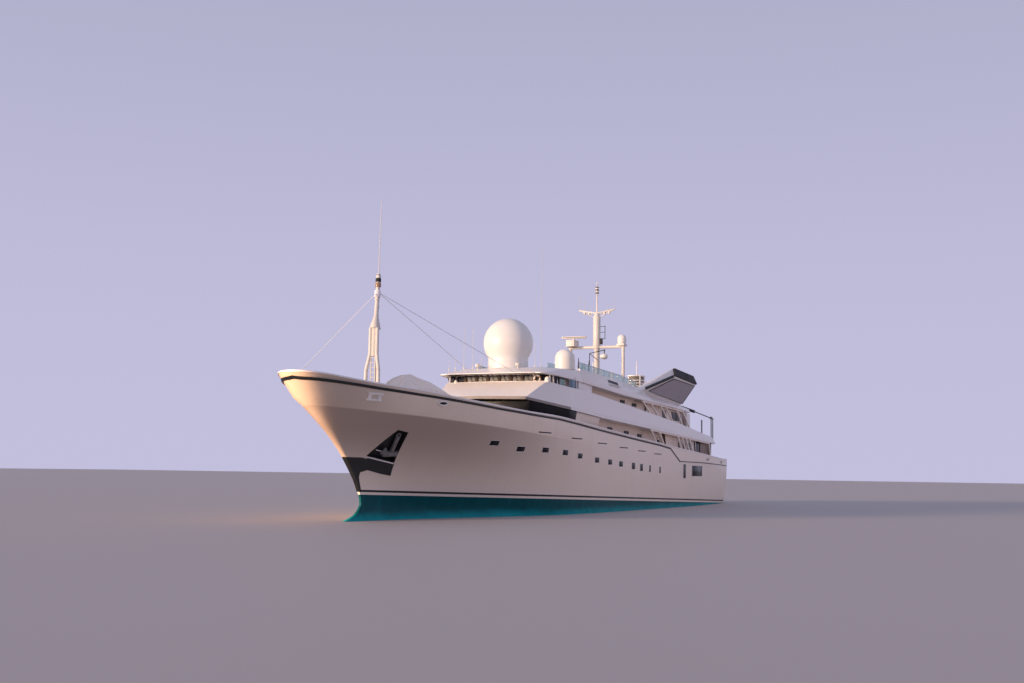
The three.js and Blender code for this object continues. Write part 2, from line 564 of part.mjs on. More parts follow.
// The scanner's pedestal stands on the starboard end of the beam, the small dome's pad on the
// port end. Places are offsets from the mast, heights are above the beam.
const PEDESTAL = { aft: -0.25, fore: 1.1, innerY: 2.1, outerY: 3.0, topZ: 0.75, pinY: 2.55, pinTopZ: 0.95 };
const PAD = { half: 0.5, innerY: 2.35, outerY: 3.15, topZ: 0.25 };
const SADDLE = 0.05;
const MAST_FOOT_Z = sunUnder(MAST.x) + SUN_FLOOR - 0.1;
const yardHalf = bar(
  [MAST.x, 0, MAST.towerTopZ - SADDLE], [MAST.x, MAST.yardReach, MAST.yardZ], MAST.yardRadius);
const upright = (y, lowZ, topZ, radius, topRadius, sides) =>
  bar([MAST.x, y, lowZ], [MAST.x, y, topZ], radius, topRadius, sides);
const radarMast = standingOn(
  join(
    upright(MAST.legY, MAST_FOOT_Z, MAST.beamZ, MAST.legRadius),
    upright(-MAST.legY, MAST_FOOT_Z, MAST.beamZ, MAST.legRadius),
    bar([MAST.x, -3.05, MAST.beamZ], [MAST.x, 3.05, MAST.beamZ], MAST.beamRadius),
    upright(0, MAST_FOOT_Z, MAST.beamZ, MAST.footRadius, MAST.footRadius, 16),
    upright(0, MAST.beamZ - MAST.beamRadius, MAST.shoulderZ, MAST.towerRadius, MAST.towerRadius, 16),
    upright(0, MAST.shoulderZ, MAST.towerTopZ, MAST.towerRadius, MAST.towerTopRadius, 16),
    upright(0, MAST.towerTopZ - SADDLE, MAST.lampZ + SADDLE, MAST.yardRadius, 0.07),
    upright(0, MAST.lampZ, MAST.lampZ + MAST.lampHeight, MAST.lampRadius),
    upright(0, MAST.lampZ + MAST.lampHeight - SADDLE, MAST.tipZ, MAST.tipRadius),
    yardHalf, mirrored(yardHalf),
    box(MAST.x + PEDESTAL.aft, MAST.x + PEDESTAL.fore, -PEDESTAL.outerY, -PEDESTAL.innerY,
      MAST.beamZ + SADDLE, MAST.beamZ + PEDESTAL.topZ),
    box(MAST.x - PAD.half, MAST.x + PAD.half, PAD.innerY, PAD.outerY,
      MAST.beamZ + SADDLE, MAST.beamZ + PAD.topZ),
    upright(-PEDESTAL.pinY, MAST.beamZ + PEDESTAL.topZ - SADDLE, MAST.beamZ + PEDESTAL.pinTopZ, 0.12)),
  sunDeck);

// Radar scanner, a bar that turns on the pedestal at the mast's starboard end.
const SCANNER = {
  y: -PEDESTAL.pinY, lowZ: MAST.beamZ + PEDESTAL.pinTopZ + SADDLE, height: 0.22, length: 2.7,
  width: 0.26, hubRadius: 0.1,
};
const scanner = join(
  box(MAST.x - SCANNER.width / 2, MAST.x + SCANNER.width / 2,
    SCANNER.y - SCANNER.length / 2, SCANNER.y + SCANNER.length / 2,
    SCANNER.lowZ, SCANNER.lowZ + SCANNER.height),
  upright(SCANNER.y, SCANNER.lowZ - SADDLE + GAP, SCANNER.lowZ + SADDLE, SCANNER.hubRadius));

// Small dome on the port end of the portal.
const PORTAL_DOME = [
  // radius, height above the pad
  [0, 0], [0.36, 0], [0.46, 0.35], [0.42, 0.7], [0.25, 0.92], [0, 0.97],
];
const portalDome = turned(
  PORTAL_DOME.map(([radius, rise]) => [radius, MAST.beamZ + PAD.topZ + GAP + rise]),
  MAST.x, (PAD.innerY + PAD.outerY) / 2, 20);

// Foremast: three tubes drawn together round a core, then a pole with lamps and a whip.
const FOREMAST = { x: 33.0, waistZ: 11.6, shoulderZ: 13.4, tubeRadius: 0.13, coreRadius: 0.24 };
const FOREMAST_TUBE = [
  // z, spread of the tubes: straight feet, a waist, then close together
  [7.3, 0.53], [10.4, 0.5], [FOREMAST.waistZ, 0.27], [FOREMAST.shoulderZ, 0.27],
];
function foremastTube(shareX, shareY) {
  const points = FOREMAST_TUBE.map(([z, spread]) => [
    FOREMAST.x + shareX * spread, shareY * spread, z]);
  return points.slice(1).map((end, i) => bar(points[i], end, FOREMAST.tubeRadius, FOREMAST.tubeRadius, 10));
}
const POLE = { lowZ: 14.0, lowX: 32.9, topZ: 17.3, topX: 32.7, lowRadius: 0.17, topRadius: 0.13 };
const SHOULDER = { lowZ: FOREMAST.shoulderZ - 0.05, topZ: 14.25, lowRadius: 0.4, topRadius: 0.17 };
const poleAt = (z) => [
  POLE.lowX + (POLE.topX - POLE.lowX) * (z - POLE.lowZ) / (POLE.topZ - POLE.lowZ), 0, z];
const pole = (spare) => bar(
  poleAt(POLE.lowZ), poleAt(POLE.topZ), POLE.lowRadius + spare, POLE.topRadius + spare, 12);
const lampBand = bar(poleAt(16.4), poleAt(17.2), 0.17, 0.17, 12);
const whip = bar(poleAt(17.2), [32.55, 0, 22.6], 0.035, 0.02, 8);
const foremast = standingOn(
  join(
    ...foremastTube(-0.9, 0), ...foremastTube(0.5, 1), ...foremastTube(0.5, -1),
    bar([FOREMAST.x, 0, FOREMAST.waistZ - 0.2], [FOREMAST.x, 0, FOREMAST.shoulderZ],
      FOREMAST.coreRadius, FOREMAST.coreRadius, 14),
    bar([FOREMAST.x, 0, SHOULDER.lowZ], [POLE.lowX, 0, SHOULDER.topZ],
      SHOULDER.lowRadius, SHOULDER.topRadius, 14),
    pole(0), lampBand, whip),
  hull);

// Stays of the foremast, taut wires from a collar on its pole to the stem and the roof's brow.
const STAY = { topZ: 16.0, radius: 0.02, feet: [[42.4, 0, 9.25], [14.0, 2, 11.8], [14.0, -2, 11.8]] };
const COLLAR = { lowZ: 15.6, topZ: 16.1, radius: 0.22 };
const stayWires = STAY.feet.map((foot) =>
  bar(poleAt(STAY.topZ), foot, STAY.radius, STAY.radius, 6));
const collar = bar(poleAt(COLLAR.lowZ), poleAt(COLLAR.topZ), COLLAR.radius, COLLAR.radius, 14);
const foremastStays = cut(standingOn(join(collar, ...stayWires), wheelhouseRoof), pole(GAP));

// Windlass with two warping drums on the foredeck.
const WINDLASS = {
  x: 36.6, halfLength: 0.5, halfBreadth: 0.9, lowZ: 7.5, topZ: 8.35,
  drumZ: 8.15, drumReach: 1.7, drumRadius: 0.28, cheekInnerY: 1.35, cheekOuterY: 1.55,
};
const cheek = box(WINDLASS.x - 0.2, WINDLASS.x + 0.2, WINDLASS.cheekInnerY, WINDLASS.cheekOuterY,
  WINDLASS.lowZ, WINDLASS.drumZ + 0.05);
const windlass = standingOn(
  join(
    box(WINDLASS.x - WINDLASS.halfLength, WINDLASS.x + WINDLASS.halfLength,
      -WINDLASS.halfBreadth, WINDLASS.halfBreadth, WINDLASS.lowZ, WINDLASS.topZ),
    bar([WINDLASS.x, -WINDLASS.drumReach, WINDLASS.drumZ], [WINDLASS.x, WINDLASS.drumReach, WINDLASS.drumZ],
      WINDLASS.drumRadius, WINDLASS.drumRadius, 16),
    cheek, mirrored(cheek)),
  hull);

// Covered boat on the foredeck under a tarpaulin. Columns: x, half breadth at the deck, half
// breadth at the shoulder, shoulder height, ridge height.
const COVER = [
  [21.6, 0.9, 0.6, 8.6, 9.0], [22.2, 1.5, 1.1, 8.9, 9.44], [24.8, 1.9, 1.3, 9.2, 10.2],
  [27.8, 2.0, 1.2, 9.3, 10.6], [30.4, 1.6, 1.0, 9.0, 9.9], [31.4, 0.9, 0.6, 8.7, 9.6],
];
const tarpaulin = standingOn(
  loft(COVER.map(([x, foot, shoulder, shoulderZ, ridgeZ]) => [
    [x, foot, 6.8], [x, foot, 7.9], [x, shoulder, shoulderZ], [x, 0.12, ridgeZ],
    [x, -0.12, ridgeZ], [x, -shoulder, shoulderZ], [x, -foot, 7.9], [x, -foot, 6.8],
  ])),
  hull);

// Anchors: a shank and two flukes lying in each bow pocket.
function anchor() {
  const at = (x, z, out) => [x, sideOfHull(x, z) - POCKET_DEPTH + out, z];
  const thickness = 0.16;
  const slab = (corners) => loft([-0.1, thickness].map((out) => corners.map(([x, z]) => at(x, z, out))));
  const pieces = join(
    slab([[33.55, 5.95], [33.15, 5.87], [33.25, 4.5], [33.7, 4.6]]),
    slab([[34.4, 4.85], [33.6, 4.95], [32.75, 4.6], [32.65, 4.2], [34.3, 4.5]]));
  return cut(pieces, moved(hull, 0, GAP, 0));
}
const anchorPort = anchor();

// Propellers, their shafts and brackets
const propHubFore = PROP.x + PROP.hubLength / 2;
const BORE = SHAFT_RADIUS + 0.006;

function bladeShape() {
  const shape = new THREE.Shape();
  shape.moveTo(-0.16, 0.15);
  shape.bezierCurveTo(-0.5, 0.55, -0.6, 1.1, -0.1, PROP.radius);
  shape.bezierCurveTo(0.4, 1.2, 0.5, 0.6, 0.16, 0.15);
  return shape;
}

function propeller(side) {
  const y = side * PROP.y;
  const hub = bar([propHubFore, y, PROP.z], [propHubFore - PROP.hubLength, y, PROP.z],
    PROP.hubRadius, 0.16, 20);
  const blades = Array.from({ length: PROP.blades }, (_, i) =>
    new THREE.ExtrudeGeometry(bladeShape(), { depth: 0.06, bevelEnabled: false, curveSegments: 5 })
      .translate(0, 0, -0.03)
      .rotateY(side * 0.9)
      .rotateX(2 * Math.PI * i / PROP.blades + Math.PI / 2)
      .translate(PROP.x, y, PROP.z));
  const bore = bar([propHubFore + 0.1, y, PROP.z], [PROP.x - 0.1, y, PROP.z], BORE, BORE, 24);
  return cut(join(hub, ...blades), bore);
}

// A piece that comes out of the hull's bottom keeps the touching gap below it.
function clearOfHull(geometry) {
  return cut(geometry, moved(rawHull, 0, 0, -GAP));
}

const shaftPort = clearOfHull(
  bar([SHAFT_FORE_X, PROP.y, PROP.z], [PROP.x - 0.05, PROP.y, PROP.z], SHAFT_RADIUS, SHAFT_RADIUS, 24));

// A barrel round the shaft on two legs spread like a V.
const BRACKET = { x: -31.9, barrelRadius: 0.26, barrelHalf: 0.35, legHalf: 0.28, legThickness: 0.12 };
function bracketLeg(spread) {
  const ends = [[PROP.y + 0.05 * spread, PROP.z], [PROP.y + 1.3 * spread, -0.9]];
  return loft(ends.map(([y, z]) => {
    const [inner, outer] = [y - BRACKET.legThickness / 2, y + BRACKET.legThickness / 2];
    const [aft, fore] = [BRACKET.x - BRACKET.legHalf, BRACKET.x + BRACKET.legHalf];
    return [[aft, inner, z], [fore, inner, z], [fore, outer, z], [aft, outer, z]];
  }));
}
const alongShaft = (half, radius, sides) => bar(
  [BRACKET.x - half, PROP.y, PROP.z], [BRACKET.x + half, PROP.y, PROP.z], radius, radius, sides);
const bracketPort = cut(
  clearOfHull(join(
    alongShaft(BRACKET.barrelHalf, BRACKET.barrelRadius, 20), bracketLeg(-1), bracketLeg(1))),
  alongShaft(BRACKET.barrelHalf + 0.15, BORE, 24));

// Rudders: a spade blade on a stock under its boss.
function rudder(side) {
  const blade = loft([[RUDDER.topZ, 1], [RUDDER.lowZ, 0.72]].map(([z, share]) => {
    const [fore, aft] = [RUDDER.forward * share, -RUDDER.aft * share];
    return [[fore, 0], [0.55 * fore, 0.17], [0.2 * aft, 0.2], [aft, 0.03],
      [aft, -0.03], [0.2 * aft, -0.2], [0.55 * fore, -0.17]]
      .map(([x, y]) => [RUDDER.x + x, side * RUDDER.y + y * share, z]);
  }));
  const stock = bar([RUDDER.x, side * RUDDER.y, RUDDER.topZ - 0.3],
    [RUDDER.x, side * RUDDER.y, BOSS_LOW_Z - GAP], RUDDER.stock, RUDDER.stock, 20);
  return join(blade, stock);
}

// Bathing platform across the transom.
const platform = loft([-44.4, -43.9, -41.6].map((x) => {
  const half = x < -44 ? 4.2 : 4.9;
  return [[x, half, 0.55], [x, half, 0.75], [x, -half, 0.75], [x, -half, 0.55]];
}));
const bathingPlatform = cut(platform, moved(hull, -GAP, 0, 0));

// A row of raked pillars between the top of a bulwark and the deck above, joined by a beam
// under that deck. Places are [x of the foot, x of the head].
const PILLAR = { halfLength: 0.14, halfWidth: 0.06, beamDepth: 0.22 };
function pillarRow(side, places, footAt, headAt) {
  const across = (y) => [y - PILLAR.halfWidth, y + PILLAR.halfWidth].map((edge) => side * edge);
  const posts = places.map(([footX, headX]) => loft([[footX, footAt(footX)], [headX, headAt(headX)]]
    .map(([x, [y, z]]) => {
      const [inner, outer] = across(y);
      const [aft, fore] = [x - PILLAR.halfLength, x + PILLAR.halfLength];
      return [[aft, inner, z], [fore, inner, z], [fore, outer, z], [aft, outer, z]];
    })));
  const heads = places.map(([, headX]) => headX);
  const beam = loft([heads[0] + PILLAR.halfLength, ...heads, heads.at(-1) - PILLAR.halfLength].map((x) => {
    const [y, z] = headAt(x);
    const [inner, outer] = across(y);
    const low = z - PILLAR.beamDepth;
    return [[x, inner, low], [x, outer, low], [x, outer, z], [x, inner, z]];
  }));
  return join(...posts, beam);
}

// Between the main deck's bulwark and the bridge deck.
const MAIN_PILLARS = [
  [-10.6, -9.4], [-13.2, -12.0], [-19.4, -18.4], [-20.9, -19.9], [-22.4, -21.4], [-23.9, -22.9],
  [-31.8, -31.8],
];
const BULWARK_PLAN = FRAMES.map((frame) => [frame[COLUMN.x], frame[COLUMN.bulwark]]);
function mainPillars(side) {
  const row = pillarRow(side, MAIN_PILLARS,
    (x) => [reading(BULWARK_PLAN, x) - BULWARK_THICKNESS / 2, reading(BULWARK_TOP, x) - 0.05],
    (x) => [bridgeBreadth(x) - 0.1, bridgeUnder(x) + 0.05]);
  return hangingUnder(standingOn(row, side > 0 ? bulwarkPort : bulwarkStarboard), bridgeDeck);
}

// Between the bridge bulwark and the sun deck.
const SUN_PILLARS = [
  [-10.4, -9.4], [-13.0, -12.0], [-16.2, -15.2], [-18.0, -17.0], [-21.5, -21.5], [-24.5, -24.5],
];
const bandTopZ = (x) => reading(BAND_PATH.map(([,, topX,, topZ]) => [topX, topZ]).reverse(), x);
const bandTopY = (x) => reading(BAND_PATH.map(([,, topX, topY]) => [topX, topY]).reverse(), x);
function sunPillars(side) {
  const row = pillarRow(side, SUN_PILLARS,
    (x) => [bandTopY(x) - BAND_THICKNESS / 2, bandTopZ(x) - 0.05],
    (x) => [sunFoot(x) - 0.1, sunUnder(x) + 0.05]);
  return hangingUnder(standingOn(row, bridgeBulwark), sunDeck);
}

// Stern rail of the bridge deck, with two awning posts.
const STERN_RAIL_X = -33.9;
const sternRail = standingOn(
  join(
    ...[-4.6, -2.3, 0, 2.3, 4.6].map((y) =>
      bar([STERN_RAIL_X, y, 7.2], [STERN_RAIL_X, y, 8.35], 0.05, 0.05, 8)),
    bar([STERN_RAIL_X, -4.6, 8.3], [STERN_RAIL_X, 4.6, 8.3], 0.06, 0.06, 8),
    ...[-4.6, 4.6].map((y) => bar([STERN_RAIL_X, y, 7.2], [STERN_RAIL_X, y, 9.9], 0.09, 0.09, 10))),
  bridgeDeck);

// Group and materials
const yacht = new THREE.Group();
yacht.scale.setScalar(MODEL_MM_PER_METRE);

function material(color, roughness, metalness = 0) {
  return new THREE.MeshStandardMaterial({ color, roughness, metalness });
}
const WHITE = material(0xe6dfd6, 0.4);
const SHADED_WHITE = material(0xd8d2cb, 0.45);
const TEAL_GLASS = material(0x2f8f93, 0.15);
const BRONZE = material(0x9a7a42, 0.35, 0.9);
const STEEL = material(0x8b9096, 0.4, 0.8);
const CLOTH = material(0xd9d4d2, 0.85);
const TEAK = material(0xa9825a, 0.7);

function add(name, geometry, look) {
  const mesh = new THREE.Mesh(geometry, look);
  mesh.name = name;
  yacht.add(mesh);
}

add('hull', hull, WHITE);
add('bulwark_port', bulwarkPort, WHITE);
add('bulwark_starboard', bulwarkStarboard, WHITE);
add('main_house', mainHouse, SHADED_WHITE);
add('bridge_deck', bridgeDeck, TEAK);
add('bridge_bulwark', bridgeBulwark, WHITE);
add('bridge_house', bridgeHouse, SHADED_WHITE);
add('wheelhouse', wheelhouse, WHITE);
add('wheelhouse_roof', wheelhouseRoof, WHITE);
add('wheelhouse_door_port', wheelhouseDoor(1), WHITE);
add('wheelhouse_door_starboard', wheelhouseDoor(-1), WHITE);
add('sun_deck', sunDeck, WHITE);
add('wing_wall_port', wingWall(1), WHITE);
add('wing_wall_starboard', wingWall(-1), WHITE);

add('windscreen_port', windscreen(1), TEAL_GLASS);
add('windscreen_starboard', windscreen(-1), TEAL_GLASS);
add('funnel_port', funnel(1), WHITE);
add('funnel_starboard', funnel(-1), WHITE);
add('louvred_casing_port', casing, SHADED_WHITE);
add('louvred_casing_starboard', mirrored(casing), SHADED_WHITE);
add('dome_large', bigDome, WHITE);
add('dome_small', smallDome, WHITE);
add('dome_portal', portalDome, WHITE);
add('radar_mast', radarMast, WHITE);
add('radar_scanner', scanner, WHITE);
add('foremast', foremast, WHITE);
add('foremast_stays', foremastStays, STEEL);
add('windlass', windlass, STEEL);
add('boat_under_tarpaulin', tarpaulin, CLOTH);
add('anchor_port', anchorPort, STEEL);
add('anchor_starboard', mirrored(anchorPort), STEEL);
add('propeller_port', propeller(1), BRONZE);
add('propeller_starboard', propeller(-1), BRONZE);
add('shaft_port', shaftPort, STEEL);
add('shaft_starboard', mirrored(shaftPort), STEEL);
add('shaft_bracket_port', bracketPort, WHITE);
add('shaft_bracket_starboard', mirrored(bracketPort), WHITE);
add('rudder_port', rudder(1), WHITE);
add('rudder_starboard', rudder(-1), WHITE);
add('bathing_platform', bathingPlatform, TEAK);
add('main_pillars_port', mainPillars(1), WHITE);
add('main_pillars_starboard', mainPillars(-1), WHITE);
add('bridge_pillars_port', sunPillars(1), WHITE);
add('bridge_pillars_starboard', sunPillars(-1), WHITE);
add('stern_rail', sternRail, STEEL);

export default yacht;
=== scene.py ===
import bpy
import bmesh
import json
import math
import numpy as np
from mathutils import Matrix, Vector
from mathutils.bvhtree import BVHTree

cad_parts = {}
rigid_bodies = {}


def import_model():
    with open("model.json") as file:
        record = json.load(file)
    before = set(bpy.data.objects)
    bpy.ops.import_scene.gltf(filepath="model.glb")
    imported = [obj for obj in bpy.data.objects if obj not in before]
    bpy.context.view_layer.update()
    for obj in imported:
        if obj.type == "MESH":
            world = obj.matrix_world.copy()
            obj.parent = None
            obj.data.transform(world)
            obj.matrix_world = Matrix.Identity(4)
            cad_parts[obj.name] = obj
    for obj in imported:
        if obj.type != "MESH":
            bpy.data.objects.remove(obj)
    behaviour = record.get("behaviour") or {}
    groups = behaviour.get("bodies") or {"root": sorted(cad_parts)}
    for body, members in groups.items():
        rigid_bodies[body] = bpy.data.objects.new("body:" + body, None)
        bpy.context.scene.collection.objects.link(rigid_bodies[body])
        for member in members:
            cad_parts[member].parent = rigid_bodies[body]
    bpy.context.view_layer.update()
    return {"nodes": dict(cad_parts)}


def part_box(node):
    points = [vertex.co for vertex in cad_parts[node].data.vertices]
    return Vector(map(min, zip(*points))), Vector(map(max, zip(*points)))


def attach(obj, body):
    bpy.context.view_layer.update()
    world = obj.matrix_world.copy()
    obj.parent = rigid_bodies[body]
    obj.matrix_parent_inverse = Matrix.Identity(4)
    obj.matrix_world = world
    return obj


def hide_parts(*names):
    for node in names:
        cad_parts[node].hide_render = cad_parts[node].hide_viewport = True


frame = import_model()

# Camera. It stands on the quay off the port bow, an adult's eye height above the water, and
# looks along the ship towards its stern. Lengths in the picture are in its own 1024 columns.
PICTURE_WIDTH = 1024
FOCAL_LENGTH = 1200
HORIZON_BELOW_MIDDLE = 129.9
EYE = (10.5045, 4.4014, 0.35)
turn, roll = math.radians(24.86), math.radians(0.8)
lift = math.atan(HORIZON_BELOW_MIDDLE * math.cos(roll) / FOCAL_LENGTH)
level_right = Vector((-math.sin(turn), math.cos(turn), 0))
level_ahead = Vector((-math.cos(turn), -math.sin(turn), 0))
zenith = Vector((0, 0, 1))
tilted_up = -math.sin(lift) * level_ahead + math.cos(lift) * zenith
right = math.cos(roll) * level_right + math.sin(roll) * tilted_up
upward = -math.sin(roll) * level_right + math.cos(roll) * tilted_up
look = math.cos(lift) * level_ahead + math.sin(lift) * zenith
camera = bpy.data.objects.new("quay_camera", bpy.data.cameras.new("quay_camera"))
bpy.context.scene.collection.objects.link(camera)


def axes(x, y, z, origin):
    return Matrix.Translation(origin) @ Matrix((x, y, z)).transposed().to_4x4()


camera.matrix_world = axes(right, upward, -look, EYE)
camera.data.sensor_width = 36
camera.data.lens = camera.data.sensor_width * FOCAL_LENGTH / PICTURE_WIDTH
bpy.context.scene.camera = camera

# Hull plating, one welded steel shell from the keel to the bulwark's cap and down its inner
# side. It is faired smooth apart from the knuckle of the bow, and painted white over a thin
# black line, a white line and teal antifouling. Sizes are metres of the real ship.
FRAMES = [
    # x, bulwark top, deck, keel, then half breadths from the bulwark top down to the bilge
    (-42.65, 5.35, 4.6, -0.7, 5.3, 5.3, 5.3, 5.28, 5.22, 5.15, 5.1, 5.04, 5.0, 4.85, 4.6, 4.2, 3.2),
    (-38.0, 5.4, 4.6, -1.15, 5.85, 5.85, 5.85, 5.82, 5.78, 5.7, 5.65, 5.59, 5.55, 5.4, 5.1, 4.6, 3.5),
    (-32.0, 5.6, 4.6, -1.9, 6.3, 6.3, 6.28, 6.25, 6.2, 6.12, 6.08, 6.03, 6.0, 5.85, 5.5, 4.9, 3.6),
    (-25.0, 5.9, 4.7, -3.1, 6.52, 6.52, 6.5, 6.48, 6.44, 6.38, 6.34, 6.29, 6.25, 6.1, 5.75, 5.1, 3.6),
    (-19.0, 6.15, 4.75, -4.1, 6.58, 6.58, 6.57, 6.55, 6.52, 6.48, 6.45, 6.42, 6.4, 6.25, 5.95, 5.3, 3.7),
    (-15.6, 6.32, 4.95, -4.6, 6.6, 6.6, 6.59, 6.58, 6.56, 6.52, 6.5, 6.47, 6.45, 6.35, 6.1, 5.5, 3.9),
    (-8.0, 6.72, 5.4, -4.9, 6.6, 6.6, 6.6, 6.6, 6.58, 6.56, 6.54, 6.52, 6.5, 6.45, 6.25, 5.75, 4.2),
    (0.0, 7.14, 5.87, -4.9, 6.6, 6.6, 6.6, 6.6, 6.58, 6.55, 6.53, 6.51, 6.5, 6.45, 6.3, 5.8, 4.3),
    (8.0, 7.6, 6.34, -4.9, 6.6, 6.6, 6.58, 6.52, 6.45, 6.38, 6.35, 6.32, 6.3, 6.25, 6.05, 5.5, 4.0),
    (15.0, 7.98, 6.75, -4.9, 6.55, 6.52, 6.47, 6.3, 6.02, 5.7, 5.55, 5.46, 5.4, 5.3, 5.0, 4.4, 3.0),
    (21.0, 8.12, 7.0, -4.9, 6.33, 6.27, 6.18, 5.72, 5.1, 4.5, 4.22, 4.11, 4.05, 3.9, 3.65, 3.05, 2.0),
    (26.0, 8.37, 7.12, -4.9, 5.87, 5.75, 5.6, 4.95, 4.05, 3.25, 2.9, 2.78, 2.72, 2.62, 2.45, 1.95, 1.2),
    (30.0, 8.61, 7.3, -4.9, 5.25, 5.05, 4.85, 4.08, 3.1, 2.25, 1.88, 1.78, 1.75, 1.72, 1.62, 1.28, 0.75),
    (33.5, 8.88, 7.5, -4.9, 4.43, 4.18, 3.92, 3.1, 2.18, 1.4, 1.08, 1.02, 1.02, 1.15, 1.2, 0.95, 0.5),
    (36.5, 9.07, 7.75, -4.9, 3.4, 3.12, 2.83, 2.08, 1.36, 0.76, 0.52, 0.52, 0.6, 0.95, 1.05, 0.8, 0.4),
    (39.0, 9.3, 7.95, -4.9, 2.5, 2.22, 1.92, 1.28, 0.75, 0.38, 0.26, 0.31, 0.42, 0.8, 0.95, 0.65, 0.35),
    (40.6, 9.5, 8.05, -4.9, 1.62, 1.4, 1.16, 0.7, 0.4, 0.22, 0.16, 0.2, 0.28, 0.55, 0.7, 0.45, 0.28),
    (41.3, 9.55, 8.1, -4.9, 1.0, 0.84, 0.66, 0.38, 0.22, 0.14, 0.12, 0.13, 0.16, 0.32, 0.4, 0.28, 0.2),
    (41.6, 9.57, 8.12, -4.9, 0.25, 0.2, 0.16, 0.12, 0.1, 0.08, 0.08, 0.08, 0.08, 0.1, 0.1, 0.1, 0.1),
]
LEVELS = [
    # share of the height or depth, x of the stem, x of the transom
    (1, 41.6, -42.65), (0.94, 40.9, -42.6), (0.70, 38.2, -42.5), (0.47, 36.05, -42.3),
    (0.24, 34.6, -42.1), (0.13, 34.35, -42.0), (0.05, 35.1, -41.9), (0, 36.4, -41.9),
    (-0.22, 38.0, -41.8), (-0.50, 38.2, -41.7), (-0.80, 36.3, -41.6), (-0.94, 33.5, -41.6),
]
BULWARK_THICKNESS = 0.16


def leaning(x, stem_x, stern_x):
    if x > 15:
        return 15 + (x - 15) * (stem_x - 15) / 26.6
    if x < -36:
        return -36 + (x + 36) * (stern_x + 36) / -6.65
    return x


def frame_points(x, top_z, deck_z, keel_z, top_y, *breadths):
    bow = min(1, max(0, (x - 36.5) / 5.1))
    inward, aft = BULWARK_THICKNESS * (1 + 0.6 * bow), BULWARK_THICKNESS * 1.6 * bow
    top_x, deck_x = leaning(x, 43.0, -42.65), leaning(x, 41.6, -42.65)
    points = [
        (deck_x - aft, max(0, breadths[0] - inward), deck_z),
        (top_x - aft, max(0, top_y - inward), top_z), (top_x, top_y, top_z)]
    for (share, stem_x, stern_x), breadth in zip(LEVELS, breadths):
        z = share * deck_z if share >= 0 else -share * keel_z
        points.append((leaning(x, stem_x, stern_x), breadth, z))
    keel_x = leaning(x, 31.0, -41.6)
    return points + [(keel_x, 0.08 if x > 41.5 else 0.25, keel_z), (keel_x, 0, keel_z)]


def faired(knots, rows, places):
    """Smooth curves through rows of points at knots, read at places."""
    slopes = np.gradient(rows, knots, axis=0)
    i = np.clip(np.searchsorted(knots, places, side="right") - 1, 0, len(knots) - 2)
    step = (knots[i + 1] - knots[i]).reshape(-1, 1, 1)
    t = (places - knots[i]).reshape(-1, 1, 1) / step
    return ((2 * t**3 - 3 * t**2 + 1) * rows[i] + (t**3 - 2 * t**2 + t) * step * slopes[i]
            + (3 * t**2 - 2 * t**3) * rows[i + 1] + (t**3 - t**2) * step * slopes[i + 1])


def divided(knots, longest):
    """Places between knots, none further apart than longest."""
    places = [knots[0]]
    for a, b in zip(knots, knots[1:]):
        count = max(1, math.ceil((b - a) / longest))
        places += [a + (b - a) * (k + 1) / count for k in range(count)]
    return np.array(places)


lines = np.array([frame_points(*row) for row in FRAMES])
stem = lines[-1:].copy()
stem[..., 1] = 0
lines = np.concatenate([lines, stem])
along = np.concatenate([[0], np.cumsum(np.linalg.norm(np.diff(lines[:, 3], axis=0), axis=1))])
lines = faired(along, lines, divided(along, 0.62))
lines[..., 0] = np.minimum(lines[..., 0], stem[0, :, 0])
lines[..., 1] = np.maximum(lines[..., 1], 0)
side = np.swapaxes(lines[:, 4:16], 0, 1)
down = np.concatenate([[0], np.cumsum(np.linalg.norm(np.diff(side, axis=0), axis=2).mean(axis=1))])
side = np.swapaxes(faired(down, side, divided(down, 0.42)), 0, 1)
side[..., 1] = np.maximum(side[..., 1], 0)
grid = np.concatenate([lines[:, :4], side, lines[:, 16:]], axis=1)
stations, rows = grid.shape[:2]
KNUCKLE_ROW = 4


def placed(mesh, name):
    """Makes an object of a finished bmesh and frees the bmesh."""
    piece = bpy.data.objects.new(name, bpy.data.meshes.new(name))
    mesh.to_mesh(piece.data)
    mesh.free()
    bpy.context.scene.collection.objects.link(piece)
    return piece


shell = bmesh.new()
corner = [[shell.verts.new(point) for point in station] for station in grid]
for i in range(stations - 1):
    for j in range(rows - 1):
        shell.faces.new((corner[i][j], corner[i + 1][j], corner[i + 1][j + 1], corner[i][j + 1]))
transom = [shell.verts.new((v.co.x, 0, v.co.z)) for v in corner[0][3:]]
for j in range(rows - 4):
    shell.faces.new((transom[j], corner[0][j + 3], corner[0][j + 4], transom[j + 1]))
shell.faces.new([corner[0][j] for j in (0, 3, 2, 1)])
for j in (0, 1, 2, KNUCKLE_ROW):
    for i in range(stations - 1):
        edge = shell.edges.get((corner[i][j], corner[i + 1][j]))
        if j != KNUCKLE_ROW or corner[i][j].co.x > 4:
            edge.smooth = False
for j in range(rows - 1):
    shell.edges.get((corner[0][j], corner[0][j + 1])).smooth = False
bmesh.ops.remove_doubles(shell, verts=shell.verts, dist=0.002)
hull_plating = placed(shell, "hull_plating")


def pick(piece):
    """Leaves this piece alone selected and active."""
    if bpy.context.object and bpy.context.object.mode != "OBJECT":
        bpy.ops.object.mode_set(mode="OBJECT")
    bpy.ops.object.select_all(action="DESELECT")
    piece.select_set(True)
    bpy.context.view_layer.objects.active = piece


def shaped(piece, kind, **settings):
    """Adds a modifier and applies it."""
    pick(piece)
    modifier = piece.modifiers.new(kind.lower(), kind)
    for key, value in settings.items():
        setattr(modifier, key, value)
    bpy.ops.object.modifier_apply(modifier=modifier.name)
    return piece


